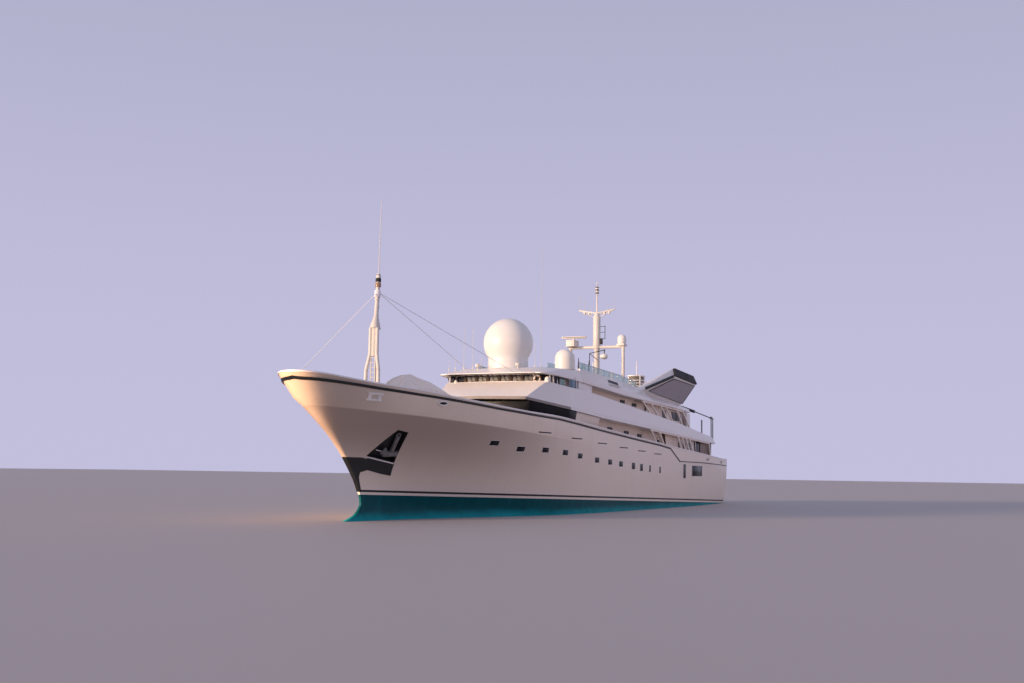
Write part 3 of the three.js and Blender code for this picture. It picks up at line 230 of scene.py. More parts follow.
def choose(piece, wanted):
    """Selects the faces whose centre and normal pass the test, and stays in edit mode."""
    pick(piece)
    bpy.ops.object.mode_set(mode="EDIT")
    bpy.ops.mesh.select_mode(type="FACE")
    bpy.ops.mesh.select_all(action="DESELECT")
    mesh = bmesh.from_edit_mesh(piece.data)
    for face in mesh.faces:
        if wanted(face.calc_center_median(), face.normal):
            face.select_set(True)
    bmesh.update_edit_mesh(piece.data)


shaped(hull_plating, "MIRROR", use_axis=(False, True, False), use_clip=True, merge_threshold=0.002)
bpy.ops.object.mode_set(mode="EDIT")
bpy.ops.mesh.select_all(action="SELECT")
bpy.ops.mesh.normals_make_consistent(inside=False)
PAINT_SLOPE = 0.023
PAINT_EDGES = (1.32, 1.17, 0.99)       # heights amidships: black line, white line, teal
for height in PAINT_EDGES:
    bpy.ops.mesh.select_all(action="SELECT")
    bpy.ops.mesh.bisect(plane_co=(0, 0, height), plane_no=(-PAINT_SLOPE, 0, 1))

# Anchor pockets are pressed into the plating by both bows: their outline is cut, and the
# faces inside it are pushed in.
POCKET = [(34.03, 6.2), (33.12, 6.05), (32.38, 3.97), (35.0, 4.4)]
POCKET_MIDDLE = (33.6, 5.0)
POCKET_DEPTH = 0.45


def inside(outline, x, z):
    signs = [(bx - ax) * (z - az) - (bz - az) * (x - ax)
             for (ax, az), (bx, bz) in zip(outline, outline[1:] + outline[:1])]
    return all(s > 0 for s in signs) or all(s < 0 for s in signs)


for (ax, az), (bx, bz) in zip(POCKET, POCKET[1:] + POCKET[:1]):
    choose(hull_plating, lambda c, n: 31.6 < c.x < 35.6 and 3.4 < c.z < 6.8)
    bpy.ops.mesh.bisect(plane_co=(ax, 0, az), plane_no=Vector((bz - az, 0, ax - bx)).normalized())
bpy.ops.object.mode_set(mode="OBJECT")
hull_surface = BVHTree.FromPolygons(
    [v.co.copy() for v in hull_plating.data.vertices],
    [tuple(p.vertices) for p in hull_plating.data.polygons])


def on_hull(x, z, port=1):
    """Point and outward normal of the plating's outer face at that place in side view."""
    point, normal, _, _ = hull_surface.ray_cast(Vector((x, 20 * port, z)), Vector((0, -port, 0)))
    return (point, normal) if normal.y * port > 0 else (point, -normal)


for port in (1, -1):
    choose(hull_plating, lambda c, n: c.y * port > 0 and inside(POCKET, c.x, c.z))
    inward = -POCKET_DEPTH * on_hull(*POCKET_MIDDLE, port)[1]
    bpy.ops.mesh.extrude_region_move(TRANSFORM_OT_translate={"value": inward})
bpy.ops.object.mode_set(mode="OBJECT")


class Tone:
    """A socket of a finish. Numbers combine through Math nodes."""

    def __init__(self, tree, socket=None):
        self.tree, self.socket = tree, socket

    def node(self, kind, settings=(), out=0, **sockets):
        made = self.tree.nodes.new("ShaderNode" + kind)
        for key, value in dict(settings).items():
            if key == "stops":
                while len(made.color_ramp.elements) < len(value):
                    made.color_ramp.elements.new(0.5)
                for element, (place, colour) in zip(made.color_ramp.elements, value):
                    element.position, element.color = place, (*colour, 1)
            else:
                setattr(made, key, value)
        for key, value in sockets.items():
            name = int(key[1:]) if key[1:].isdigit() else key.replace("_", " ")
            if isinstance(value, Tone):
                self.tree.links.new(value.socket, made.inputs[name])
            else:
                made.inputs[name].default_value = value
        return Tone(self.tree, made.outputs[out])

    def maths(self, operation, a, b=0.0):
        return self.node("Math", {"operation": operation}, _0=a, _1=b)

    def __add__(self, other):
        return self.maths("ADD", self, other)

    def __radd__(self, other):
        return self.maths("ADD", other, self)

    def __sub__(self, other):
        return self.maths("SUBTRACT", self, other)

    def __rsub__(self, other):
        return self.maths("SUBTRACT", other, self)

    def __mul__(self, other):
        return self.maths("MULTIPLY", self, other)

    def __rmul__(self, other):
        return self.maths("MULTIPLY", other, self)

    def place(self, stretch=(1, 1, 1)):
        """Place on the real ship in metres, stretched along each axis."""
        where = self.node("TexCoord", out="Object")
        return self.node("Mapping", Vector=where, Scale=[10 * s for s in stretch])

    def axis(self, name, vector):
        return self.node("SeparateXYZ", out=name, Vector=vector)

    def noise(self, scale, stretch=(1, 1, 1), detail=3.0):
        return self.node("TexNoise", Vector=self.place(stretch), Scale=scale, Detail=detail)

    def ramp(self, value, low, high, low_to=0.0, high_to=1.0):
        return self.node("MapRange", {"interpolation_type": "SMOOTHSTEP"}, _0=value,
                         _1=low, _2=high, _3=low_to, _4=high_to)

    def mixed(self, share, first, second):
        tones = [t if isinstance(t, Tone) else (*t, 1) for t in (first, second)]
        return self.node("Mix", {"data_type": "RGBA"}, out=2, _0=share, _6=tones[0], _7=tones[1])


def finish(name, recipe, bump=0.0, **constants):
    """A procedural material. The recipe returns what varies, by the name of its socket."""
    made = bpy.data.materials.new(name)
    made.use_nodes = True
    tree = made.node_tree
    surface = tree.nodes["Principled BSDF"]
    for key, value in constants.items():
        surface.inputs[key.replace("_", " ")].default_value = value
    for key, tone in recipe(Tone(tree)).items():
        if key == "Height":
            tone = tone.node("Bump", Strength=bump, Distance=0.002, Height=tone)
            key = "Normal"
        tree.links.new(tone.socket, surface.inputs[key])
    return made


# The topside paint also carries painted light and shade at the bow, set by the masks below.
def topside_recipe(t):
    cloud = t.noise(0.35, (1, 1, 1.6))
    streak = t.ramp(t.noise(1.1, (1.4, 1.4, 0.05), 5.0), 0.55, 0.8)
    weld = t.node("TexWave", {"bands_direction": "X"}, out=1, Vector=t.place(), Scale=0.13, Distortion=0.0)
    weld = t.ramp(weld, 0.985, 1.0)
    x, z = t.axis("X", t.place()), t.axis("Z", t.place())
    # Painted light: a strip along the stem is kept clear of the painted shade, dimmed a little towards its
    # top.
    lit_stem = t.ramp(x - z, 32.6, 33.5) * t.ramp(z, 6.5, 7.6, 1.0, 0.35)
    # Strength of the painted shade along the ship: full at the bow, fading out aft.
    fore = t.ramp(x, 7.0, 30.0, 0.05, 1.0) * (1.0 - lit_stem)
    # Painted shade falls on the plating below the knuckle, and also above it beside the stem.
    knuckle = t.ramp(z - 0.0495 * x, 5.58, 5.46)
    stem_side_shade = t.ramp(x, 34.0, 40.5, 0.0, 0.62)
    under = fore * (knuckle + stem_side_shade - knuckle * stem_side_shade)
    colour = t.mixed(cloud, (0.82, 0.70, 0.575), (0.90, 0.775, 0.645))
    colour = t.mixed(streak * 0.16, colour, (0.56, 0.45, 0.37))
    # Painted shade: a warm dark brown, strongest high on the flare below the knuckle.
    colour = t.mixed(under * t.ramp(z, 1.9, 6.4, 0.0, 0.9), colour, (0.37, 0.285, 0.235))
    # Painted light: lower down, the shaded plating turns a lighter tone towards the waterline.
    colour = t.mixed(under * t.ramp(z, 3.6, 1.2, 0.0, 0.9), colour, (0.88, 0.78, 0.70))
    return {"Base Color": t.mixed(weld * 0.04, colour, (0.45, 0.40, 0.36)),
            "Roughness": 0.26 + 0.16 * cloud + 0.1 * streak,
            "Height": t.noise(0.5, (1, 1, 1.3)) - 0.12 * weld}


def bottom_recipe(t):
    z = t.axis("Z", t.place())
    # The teal is drawn lighter at the waterline and darker up towards the boot-top, along a wavering edge.
    toward_waterline = t.ramp(z + 0.5 * t.noise(1.2, (0.5, 0.5, 1)), 1.0, 0.15)
    streak = t.ramp(t.noise(1.3, (1.8, 1.8, 0.08), 5.0), 0.45, 0.75)
    colour = t.mixed(toward_waterline, (0.001, 0.075, 0.088), (0.001, 0.30, 0.34))
    return {"Base Color": t.mixed(streak * 0.5, colour, (0.001, 0.13, 0.15)),
            "Roughness": 0.35 + 0.25 * t.noise(2.5), "Height": t.noise(6.0)}


def clouded(name, cloud, dark, light, roughness, spread, grain, **constants):
    """A finish that wanders between two tones, with a gloss that varies at a finer grain."""
    return finish(name, lambda t: {
        "Base Color": t.mixed(t.noise(cloud), dark, light),
        "Roughness": roughness + spread * t.noise(grain)}, **constants)


topside_paint = finish("topside_paint", topside_recipe, bump=0.25, Coat_Weight=0.15)
bottom_paint = finish("bottom_paint", bottom_recipe, bump=0.2, Specular_IOR_Level=0.12)
black_paint = clouded("black_paint", 1.5, (0.008, 0.010, 0.010), (0.022, 0.024, 0.023), 0.35, 0.3, 3.0)


def paint_faces(piece, materials, chooser):
    """Gives each face one of the materials by its centre and normal."""
    piece.data.materials.clear()
    for material in materials:
        piece.data.materials.append(material)
    for face in piece.data.polygons:
        face.material_index = chooser(face.center, face.normal)


def hull_colour(c, n):
    height = c.z - PAINT_SLOPE * c.x
    if 31 < c.x < 36 and 3.4 < c.z < 6.8:
        outer = on_hull(c.x, c.z, 1 if c.y > 0 else -1)[0]
        deep = inside(POCKET, c.x, c.z) and (c - outer).length > 0.1
        if deep or abs(abs(c.y) - abs(outer.y)) > 0.02:
            return 1
    if height > PAINT_EDGES[0] or PAINT_EDGES[2] < height < PAINT_EDGES[1]:
        return 0
    return 1 if height > PAINT_EDGES[1] else 2


paint_faces(hull_plating, [topside_paint, black_paint, bottom_paint], hull_colour)


def settle(piece, name, material=None, stands_for=(), body="ship", smooth=35):
    """Brings a finished piece to the model's scale and fixes it to the ship."""
    pick(piece)
    bpy.ops.object.transform_apply(location=True, rotation=True, scale=True)
    piece.name = piece.data.name = name
    piece.data.transform(Matrix.Scale(0.1, 4))
    if material:
        piece.data.materials.clear()
        piece.data.materials.append(material)
    if smooth:
        bpy.ops.object.shade_smooth_by_angle(angle=math.radians(smooth), keep_sharp_edges=True)
    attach(piece, body)
    if stands_for:
        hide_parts(*stands_for)
    return piece


settle(hull_plating, "hull_plating",
       stands_for=("hull", "bulwark_port", "bulwark_starboard"))

# Main deck, teak planks laid fore and aft on the steel deck with black caulking between them.
# A sheet is laid from bulwark to bulwark with a little camber.
def teak_recipe(t):
    where = t.place()
    y = t.axis("Y", where)
    x = t.axis("X", where)
    row = t.maths("FLOOR", y * 7.0)
    run = x * 0.22 + row * 0.37
    seam = t.ramp(t.maths("FRACT", y * 7.0), 0.0, 0.09, 1.0, 0.0)
    seam = t.maths("MAXIMUM", seam, t.ramp(t.maths("FRACT", run), 0.0, 0.006, 1.0, 0.0))
    plank = row + 17.0 * t.maths("FLOOR", run)
    shade = t.node("TexWhiteNoise", {"noise_dimensions": "1D"}, W=plank)
    grain = t.noise(3.0, (0.6, 14, 1), 6.0)
    wood = t.mixed(shade, (0.40, 0.27, 0.16), (0.54, 0.40, 0.26))
    wood = t.mixed(grain * 0.6, wood, (0.30, 0.19, 0.11))
    return {"Base Color": t.mixed(seam, wood, (0.02, 0.02, 0.02)),
            "Roughness": 0.5 + 0.25 * grain, "Height": grain * 0.4 - seam}


teak = finish("teak", teak_recipe, bump=0.4)
deck = bmesh.new()
inner = lines[:-1, 0]
pairs = [[deck.verts.new((x, s * (y + 0.02), z + (0.09 if s == 0 else 0.012))) for s in (1, 0, -1)]
         for x, y, z in inner if y > 0.05]
for fore, aft in zip(pairs, pairs[1:]):
    for k in (0, 1):
        deck.faces.new((fore[k], fore[k + 1], aft[k + 1], aft[k]))
bmesh.ops.recalc_face_normals(deck, faces=deck.faces)
main_deck = shaped(placed(deck, "main_deck"), "SOLIDIFY", thickness=0.04, offset=-1)
settle(main_deck, "main_deck", teak)


# Parts are cut and bent from a few kinds of stock: bevelled plate, round tube and turned
# shapes. Like pieces are made once and copied into one mesh.
def block(x0, x1, y0, y1, z0, z1, bevel=0.03):
    bpy.ops.object.select_all(action="DESELECT")
    bpy.ops.mesh.primitive_cube_add(size=1, location=((x0 + x1) / 2, (y0 + y1) / 2, (z0 + z1) / 2))
    piece = bpy.context.object
    piece.scale = (abs(x1 - x0), abs(y1 - y0), abs(z1 - z0))
    bpy.ops.object.transform_apply(location=True, rotation=True, scale=True)
    return shaped(piece, "BEVEL", width=bevel, segments=2) if bevel else piece


def rod(points, radius, sides=8, closed=False):
    curve = bpy.data.curves.new("rod", "CURVE")
    curve.dimensions = "3D"
    run = curve.splines.new("POLY")
    run.points.add(len(points) - 1)
    for point, place in zip(run.points, points):
        point.co = (*place, 1)
    run.use_cyclic_u = closed
    curve.bevel_depth, curve.bevel_resolution = radius, max(0, (sides - 4) // 2)
    curve.use_fill_caps = True
    piece = bpy.data.objects.new("rod", curve)
    bpy.context.scene.collection.objects.link(piece)
    pick(piece)
    bpy.ops.object.convert(target="MESH")
    return piece


def ring(radius, steps):
    """Places (cosine, sine) times radius round a circle."""
    return [(radius * math.cos(a), radius * math.sin(a))
            for a in np.linspace(0, 2 * math.pi, steps + 1)[:-1]]


def rim_of(x0, x1, y, z0, z1, radius):
    """A thin round bead along the four edges of an upright pane."""
    return rod([(x0, y, z0), (x1, y, z0), (x1, y, z1), (x0, y, z1)], radius, 6, True)


def turned(profile, x, y, sides=24):
    """Spins a profile of (radius, height) about an upright axis."""
    mesh = bmesh.new()
    line = [mesh.verts.new((r, 0, z)) for r, z in profile]
    edges = [mesh.edges.new(pair) for pair in zip(line, line[1:])]
    bmesh.ops.spin(mesh, geom=line + edges, axis=(0, 0, 1), cent=(0, 0, 0),
                   angle=2 * math.pi, steps=sides, use_merge=True, use_duplicate=False)
    bmesh.ops.remove_doubles(mesh, verts=mesh.verts, dist=0.0005)
    bmesh.ops.recalc_face_normals(mesh, faces=mesh.faces)
    bmesh.ops.translate(mesh, verts=mesh.verts, vec=(x, y, 0))
    return placed(mesh, "turned")


def plate(outline, thickness, bevel=0.0):
    """A flat plate through corner points, thickened along its normal."""
    mesh = bmesh.new()
    mesh.faces.new([mesh.verts.new(point) for point in outline])
    piece = shaped(placed(mesh, "plate"), "SOLIDIFY", thickness=thickness, offset=0)
    return shaped(piece, "BEVEL", width=bevel, segments=2) if bevel else piece


def together(*pieces):
    pick(pieces[0])
    for piece in pieces:
        piece.select_set(True)
    bpy.ops.object.join()
    return bpy.context.object


def copied(pattern, places):
    """One mesh with a copy of the pattern at each place. The pattern itself goes."""
    mesh = bmesh.new()
    for place in places:
        before = len(mesh.verts)
        mesh.from_mesh(pattern.data)
        mesh.verts.ensure_lookup_table()
        new = mesh.verts[before:]
        bmesh.ops.transform(mesh, matrix=place, verts=new)
        if place.determinant() < 0:
            bmesh.ops.reverse_faces(mesh, faces=list({f for v in new for f in v.link_faces}))
    bpy.data.objects.remove(pattern)
    return placed(mesh, "copies")


def both_sides(piece):
    return copied(piece, [Matrix.Identity(4), Matrix.Scale(-1, 4, (0, 1, 0))])


# Sheer stripe, a half-round steel moulding painted black, welded along the bulwark a hand's
# breadth below its top. Right aft it runs down to the deck line and on to the transom.
STRIPE = [
    (-42.6, 4.56), (-40.2, 4.59), (-26.5, 4.78), (-18.5, 4.79), (-15.1, 6.09), (-11.55, 6.33),
    (-5.3, 6.64), (0.4, 6.94), (5.6, 7.22), (10.4, 7.52), (14.7, 7.76), (20, 7.90), (25, 8.08),
    (30.2, 8.36), (34.35, 8.58), (37.7, 8.80), (40.8, 9.04), (43, 9.20),
]
stem_line = [(p[2], p[0]) for p in grid[-1][2:]]


def stem_x(z):
    return float(np.interp(z, [p[0] for p in stem_line][::-1], [p[1] for p in stem_line][::-1]))


def band_on_hull(places, height, proud, thick):
    """A strip along the plating, port and starboard, through (x, z) places."""
    mesh = bmesh.new()
    rows_of_band = []
    for x, z in places:
        row = []
        for share in (0.5, 0.2, -0.2, -0.5):
            level = z + share * height
            edge = proud + float(np.interp(x, [35, 40], [0, 0.06]))
            edge *= 1 if abs(share) < 0.3 else 0.75
            if x > stem_x(level) - 0.03:
                point = Vector((stem_x(level) + edge, 0, level))
            else:
                point, normal = on_hull(x, level)
                point = point + normal * edge
            row.append(mesh.verts.new(point))
        rows_of_band.append(row)
    for fore, aft in zip(rows_of_band, rows_of_band[1:]):
        for k in range(3):
            mesh.faces.new((fore[k], fore[k + 1], aft[k + 1], aft[k]))
    bmesh.ops.remove_doubles(mesh, verts=mesh.verts, dist=0.001)
    bmesh.ops.recalc_face_normals(mesh, faces=mesh.faces)
    if mesh.faces[:][len(mesh.faces) // 2].normal.y < 0:
        bmesh.ops.reverse_faces(mesh, faces=mesh.faces)
    piece = placed(mesh, "band")
    shaped(piece, "MIRROR", use_axis=(False, True, False), use_clip=True, merge_threshold=0.002)
    return shaped(piece, "SOLIDIFY", thickness=thick, offset=-1)


stripe_x = sorted({*np.arange(-42.4, 40.5, 0.8), *[x for x, _ in STRIPE[1:-1]],
                   *np.arange(40.6, 42.4, 0.15), 42.45, 42.52, 42.58, 43.0})
stripes = []
for low, high, height in ((-18.5, 43, 0.17), (-42.4, -18.5, 0.09)):
    course = [(x, float(np.interp(x, *zip(*STRIPE)))) for x in stripe_x if low <= x <= high]
    stripes.append(band_on_hull(course, height, 0.035, 0.05))
settle(together(*stripes), "sheer_stripe", black_paint)

# Cap rail on the bulwark, a rolled steel section welded over the edge of the plating from the
# transom to the stem, rounded on both sides and painted white.
cap_mesh = bmesh.new()
cap_rows = []
for i in range(len(lines)):
    outer, inner_edge = Vector(lines[i, 2]), Vector(lines[i, 1])
    across = outer - inner_edge
    across = across.normalized() * 0.04 if across.length > 0.01 else Vector((0.04, 0, 0))
    section = [edge + Vector((0, 0, dz)) for edge, dz in (
        (outer + across, -0.05), (outer + across, 0.02), (outer, 0.055), (inner_edge, 0.055),
        (inner_edge - across, 0.02), (inner_edge - across, -0.05))]
    if i == len(lines) - 1:
        section = [Vector((v.x, 0, v.z)) for v in section]
    cap_rows.append([cap_mesh.verts.new((min(v.x, 43.0), max(v.y, 0), v.z)) for v in section])
for fore, aft in zip(cap_rows, cap_rows[1:]):
    for k in range(6):
        cap_mesh.faces.new((fore[k], fore[(k + 1) % 6], aft[(k + 1) % 6], aft[k]))
cap_mesh.faces.new(cap_rows[0])
bmesh.ops.remove_doubles(cap_mesh, verts=cap_mesh.verts, dist=0.0005)
bmesh.ops.recalc_face_normals(cap_mesh, faces=cap_mesh.faces)
cap_rail = both_sides(placed(cap_mesh, "cap"))


def house_recipe(t):
    cloud = t.noise(0.5)
    drip = t.ramp(t.noise(1.6, (1.6, 1.6, 0.07), 5.0), 0.6, 0.85)
    colour = t.mixed(cloud, (0.82, 0.78, 0.76), (0.89, 0.855, 0.83))
    return {"Base Color": t.mixed(drip * 0.16, colour, (0.58, 0.52, 0.46)),
            "Roughness": 0.24 + 0.18 * cloud, "Height": t.noise(0.8)}


house_paint = finish("house_paint", house_recipe, bump=0.2, Coat_Weight=0.2)
settle(cap_rail, "bulwark_cap_rail", house_paint)

# Wear plates at the bow: black painted doubling from each anchor pocket forward to the stem,
# where it runs down along the cutwater to the boot-top.
def skin_on_hull(outline, proud, cuts=5, port=1):
    """A plate that follows the plating inside an outline of (x, z) places."""
    mesh = bmesh.new()
    mesh.faces.new([mesh.verts.new((x, 0, z)) for x, z in outline])
    bmesh.ops.triangulate(mesh, faces=mesh.faces)
    bmesh.ops.subdivide_edges(mesh, edges=mesh.edges, cuts=cuts, use_grid_fill=True)
    for v in mesh.verts:
        x = min(v.co.x, stem_x(v.co.z) - 0.015)
        point, normal = on_hull(x, v.co.z, port)
        if v.co.x > stem_x(v.co.z) - 0.03:
            v.co = (stem_x(v.co.z) + proud, 0, v.co.z)
        else:
            v.co = point + normal * proud
    bmesh.ops.recalc_face_normals(mesh, faces=mesh.faces)
    if sum(f.normal.y for f in mesh.faces) * port < 0:
        bmesh.ops.reverse_faces(mesh, faces=mesh.faces)
    return shaped(placed(mesh, "skin"), "SOLIDIFY", thickness=0.03, offset=-1)


CUTWATER = [
    # z, width of the plate aft of the stem
    (2.0, 0.14), (2.3, 0.18), (2.7, 0.26), (3.0, 0.36), (3.3, 0.62), (3.5, 1.2), (3.75, 2.75),
    (3.95, 2.7), (4.12, 2.0), (4.3, 1.2),
]
wear_mesh = bmesh.new()
for port in (1, -1):
    edge_rows = []
    for z, width in CUTWATER:
        low_stem = stem_x(z)
        edge_row = [wear_mesh.verts.new((low_stem + 0.05, 0, z))]
        for k in range(1, 13):
            x = low_stem - 0.04 - (width - 0.04) * (k - 1) / 11
            sag = 0.0 if z > 3.6 or width < 1 else 0.08 * (low_stem - x)
            point, normal = on_hull(x, z - sag, port)
            edge_row.append(wear_mesh.verts.new(point + normal * (0.05 if k == 1 else 0.016)))
        edge_rows.append(edge_row)
    for low, high in zip(edge_rows, edge_rows[1:]):
        for k in range(12):
            wear_mesh.faces.new((low[k], low[k + 1], high[k + 1], high[k]))
bmesh.ops.remove_doubles(wear_mesh, verts=wear_mesh.verts, dist=0.001)
bmesh.ops.recalc_face_normals(wear_mesh, faces=wear_mesh.faces)
wear = [shaped(placed(wear_mesh, "cutwater"), "SOLIDIFY", thickness=0.03, offset=-1)]
DOUBLING = [(32.36, 3.93), (32.08, 3.08), (33.0, 3.20), (34.3, 3.44), (34.9, 4.33)]
wear += [skin_on_hull(DOUBLING, 0.016, 4, port) for port in (1, -1)]
settle(together(*wear), "bow_wear_plates", black_paint)

# Anchors, cast steel, each drawn up into its pocket with the shank aft and the flukes below.
# The pocket's rim carries bright rubbing bars.
def steel_recipe(t):
    rub = t.noise(4.0)
    return {"Base Color": t.mixed(rub, (0.30, 0.295, 0.29), (0.46, 0.45, 0.44)),
            "Roughness": 0.32 + 0.3 * t.noise(7.0), "Height": t.noise(20.0)}


steel = finish("weathered_steel", steel_recipe, bump=0.2, Metallic=0.75)
grey_iron = finish("grey_iron", lambda t: {
    "Base Color": t.mixed(t.noise(3.0, detail=5.0), (0.09, 0.085, 0.085), (0.26, 0.25, 0.24)),
    "Roughness": 0.45 + 0.3 * t.noise(6.0), "Height": t.noise(9.0)}, bump=0.5)


def pocket_frame(port):
    """Axes of the pocket's floor: z along the shank, y outward."""
    low, high = on_hull(33.0, 4.6, port)[0], on_hull(33.5, 5.9, port)[0]
    shank = (high - low).normalized()
    out = on_hull(*POCKET_MIDDLE, port)[1]
    out = (out - shank * out.dot(shank)).normalized()
    third = shank.cross(out) * port
    return axes(third, out, shank, low - out * (POCKET_DEPTH - 0.1))


shank = block(-0.13, 0.13, 0.0, 0.24, -0.1, 1.35, 0.05)
shackle = rod([(x, 0.12, 1.42 + z) for x, z in ring(0.16, 12)], 0.05, 8, True)
crown = block(-0.75, 0.75, -0.02, 0.34, -0.32, 0.02, 0.09)
FLUKE = [(0.12, 0.2, -0.2), (1.0, 0.24, -0.05), (0.78, 0.30, 0.55), (0.5, 0.22, 0.2)]
flukes = [plate([(s * x, y, z) for x, y, z in FLUKE], 0.12, 0.03) for s in (1, -1)]
anchor = together(shank, shackle, crown, *flukes)
anchors = copied(anchor, [pocket_frame(1), pocket_frame(-1)])
settle(anchors, "bow_anchors", grey_iron, stands_for=("anchor_port", "anchor_starboard"))
bars = []
for port in (1, -1):
    for (ax, az), (bx, bz) in (((34.9, 4.33), (32.45, 3.93)), ((34.35, 4.72), (32.75, 4.42))):
        run = [on_hull(ax + (bx - ax) * k / 6, az + (bz - az) * k / 6, port) for k in range(7)]
        depth = 0.02 if az < 4.5 else -0.2
        bars.append(rod([p + n * depth for p, n in run], 0.035))
settle(together(*bars), "pocket_rubbing_bars", house_paint)


# Hull windows, panes of dark glass let into the plating in thin white steel frames with rounded
# corners. The last two are the shell door and the saloon's wide pane right aft.
def on_plating(x, z, port=1, out=0.0):
    """Axes on the plating: x along the ship, y outward, z up along the plate."""
    point, normal = on_hull(x, z, port)
    up = (Vector((0, 0, 1)) - normal * normal.z).normalized()
    return axes(up.cross(normal) * port, normal, up, point + normal * out)


def glass_recipe(t):
    smear = t.noise(0.8)
    return {"Base Color": t.mixed(smear, (0.003, 0.003, 0.004), (0.012, 0.011, 0.012)),
            "Roughness": 0.16 + 0.16 * smear}


dark_glass = finish("dark_glass", glass_recipe, Specular_IOR_Level=0.15)
HULL_WINDOWS = [
    # x, z, width, height
    (24.38, 5.58, 1.15, 0.42), (20.66, 5.22, 1.15, 0.42), (16.86, 5.23, 1.1, 0.42),
    (13.2, 5.11, 1.05, 0.45), (10.05, 4.88, 1.0, 0.45), (6.17, 4.59, 1.0, 0.48),
    (2.96, 4.46, 1.0, 0.48), (0.09, 4.32, 1.0, 0.5), (-3.41, 4.17, 0.95, 0.62),
    (-5.77, 4.05, 0.85, 0.68), (-8.37, 3.97, 0.5, 0.68), (-11.59, 3.85, 0.5, 0.66),
    (-20.3, 3.78, 0.95, 1.5), (-25.35, 3.83, 4.3, 1.15),
]


def pane_and_frame(width, height):
    pane = block(-width / 2, width / 2, -0.03, 0.012, -height / 2, height / 2, 0.01)
    corners = []
    for sx, sz, start in ((1, 1, 0), (-1, 1, 90), (-1, -1, 180), (1, -1, 270)):
        for a in (math.radians(start), math.radians(start + 45), math.radians(start + 90)):
            corners.append((sx * (width / 2 - 0.06) + 0.06 * math.cos(a), 0.012,
                            sz * (height / 2 - 0.06) + 0.06 * math.sin(a)))
    return pane, rod(corners, 0.013, 6, True)


panes, frames_of_panes = [], []
for x, z, width, height in HULL_WINDOWS:
    pane, rim = pane_and_frame(width, height)
    panes.append(copied(pane, [on_plating(x, z, port) for port in (1, -1)]))
    frames_of_panes.append(copied(rim, [on_plating(x, z, port) for port in (1, -1)]))
settle(together(*panes), "hull_window_panes", dark_glass)
settle(together(*frames_of_panes), "hull_window_frames", house_paint)

# Freeing slits, long narrow openings cut through the bulwark just above the deck, which let
# water run off. Each is drawn as a dark slot on the plating, painted shade in place of the opening.
SLITS = [(17.38, 6.60), (10.95, 6.32), (4.96, 6.07), (-0.71, 5.83), (-5.91, 5.63), (-10.91, 5.44)]
slit = block(-1.15, 1.15, -0.03, 0.012, -0.05, 0.05, 0.02)
settle(copied(slit, [on_plating(x, z, port) for x, z in SLITS for port in (1, -1)]),
       "freeing_slits", black_paint)


# Hawse pipes, cast oval lips welded round holes in the bulwark through which the ropes lead. The
# lips are bright enamelled steel, and each hole is filled by a flat black disc, painted shade for
# the dark pipe behind it.
HAWSE_LENGTH, HAWSE_HEIGHT = 0.46, 0.15
hawse_lip = rod([(HAWSE_LENGTH * c, 0.03, HAWSE_HEIGHT * s) for c, s in ring(1, 20)], 0.06, 10, True)
hawse_hole = turned([(0.0, 0.0), (1.0, 0.0)], 0, 0, 24)
hawse_hole.rotation_euler = (math.radians(-90), 0, 0)
hawse_hole.scale = (HAWSE_LENGTH, HAWSE_HEIGHT, 1)
pick(hawse_hole)
bpy.ops.object.transform_apply(location=True, rotation=True, scale=True)
HAWSES = [(31.8, 8.12), (-30.0, 5.2), (-38.0, 5.0)]
holes = [on_plating(x, z, port, 0.015) for x, z in HAWSES for port in (1, -1)]
settle(copied(hawse_hole, holes), "hawse_openings", black_paint)
cast_white = clouded("cast_white", 3.0, (0.80, 0.76, 0.72), (0.90, 0.87, 0.83), 0.3, 0.2, 8.0)
settle(copied(hawse_lip, holes), "hawse_lips", cast_white)

# Bow fairleads, two upright steel rollers in a cast frame that is welded to the bulwark's
# plating. The ropes run between the rollers.
roller = turned([(0.0, -0.2), (0.17, -0.2), (0.14, -0.14), (0.14, 0.14), (0.17, 0.2), (0.0, 0.2)],
                0, 0, 14)
rollers = copied(roller, [Matrix.Translation((dx, 0.1, 0)) for dx in (-0.4, 0.4)])
frame_bars = [block(-0.62, 0.62, -0.02, 0.2, dz - 0.07, dz + 0.07, 0.02) for dz in (-0.22, 0.22)]
fairlead = together(rollers, *frame_bars, block(-0.6, 0.6, -0.02, 0.06, -0.24, 0.24, 0.02))
fairleads = copied(fairlead, [on_plating(37.65, 8.24, port, -0.1) for port in (1, -1)])
settle(fairleads, "bow_fairleads", cast_white)


# Deck houses and decks are plated boxes. Each keeps the form of its solid: the flats are made
# whole, the edges are rounded as rolled plate, and the paint goes on.
def refined(node, bevel=0.04, angle=30):
    """The solid's own shape in ship metres, with whole flats and rounded edges."""
    mesh = bmesh.new()
    mesh.from_mesh(frame["nodes"][node].data)
    bmesh.ops.scale(mesh, vec=(10, 10, 10), verts=mesh.verts)
    bmesh.ops.remove_doubles(mesh, verts=mesh.verts, dist=0.002)
    bmesh.ops.dissolve_limit(mesh, angle_limit=math.radians(1.0), verts=mesh.verts, edges=mesh.edges)
    piece = placed(mesh, node + "_plated")
    if not bevel:
        return piece
    return shaped(piece, "BEVEL", width=bevel, segments=2, angle_limit=math.radians(angle),
                  use_clamp_overlap=True)


def plated(node, suffix, material=None, bevel=0.03, angle=30, body="ship", smooth=35):
    """The solid refined and settled in its own place, named after it."""
    return settle(refined(node, bevel, angle), f"{node}_{suffix}", material, (node,), body, smooth)
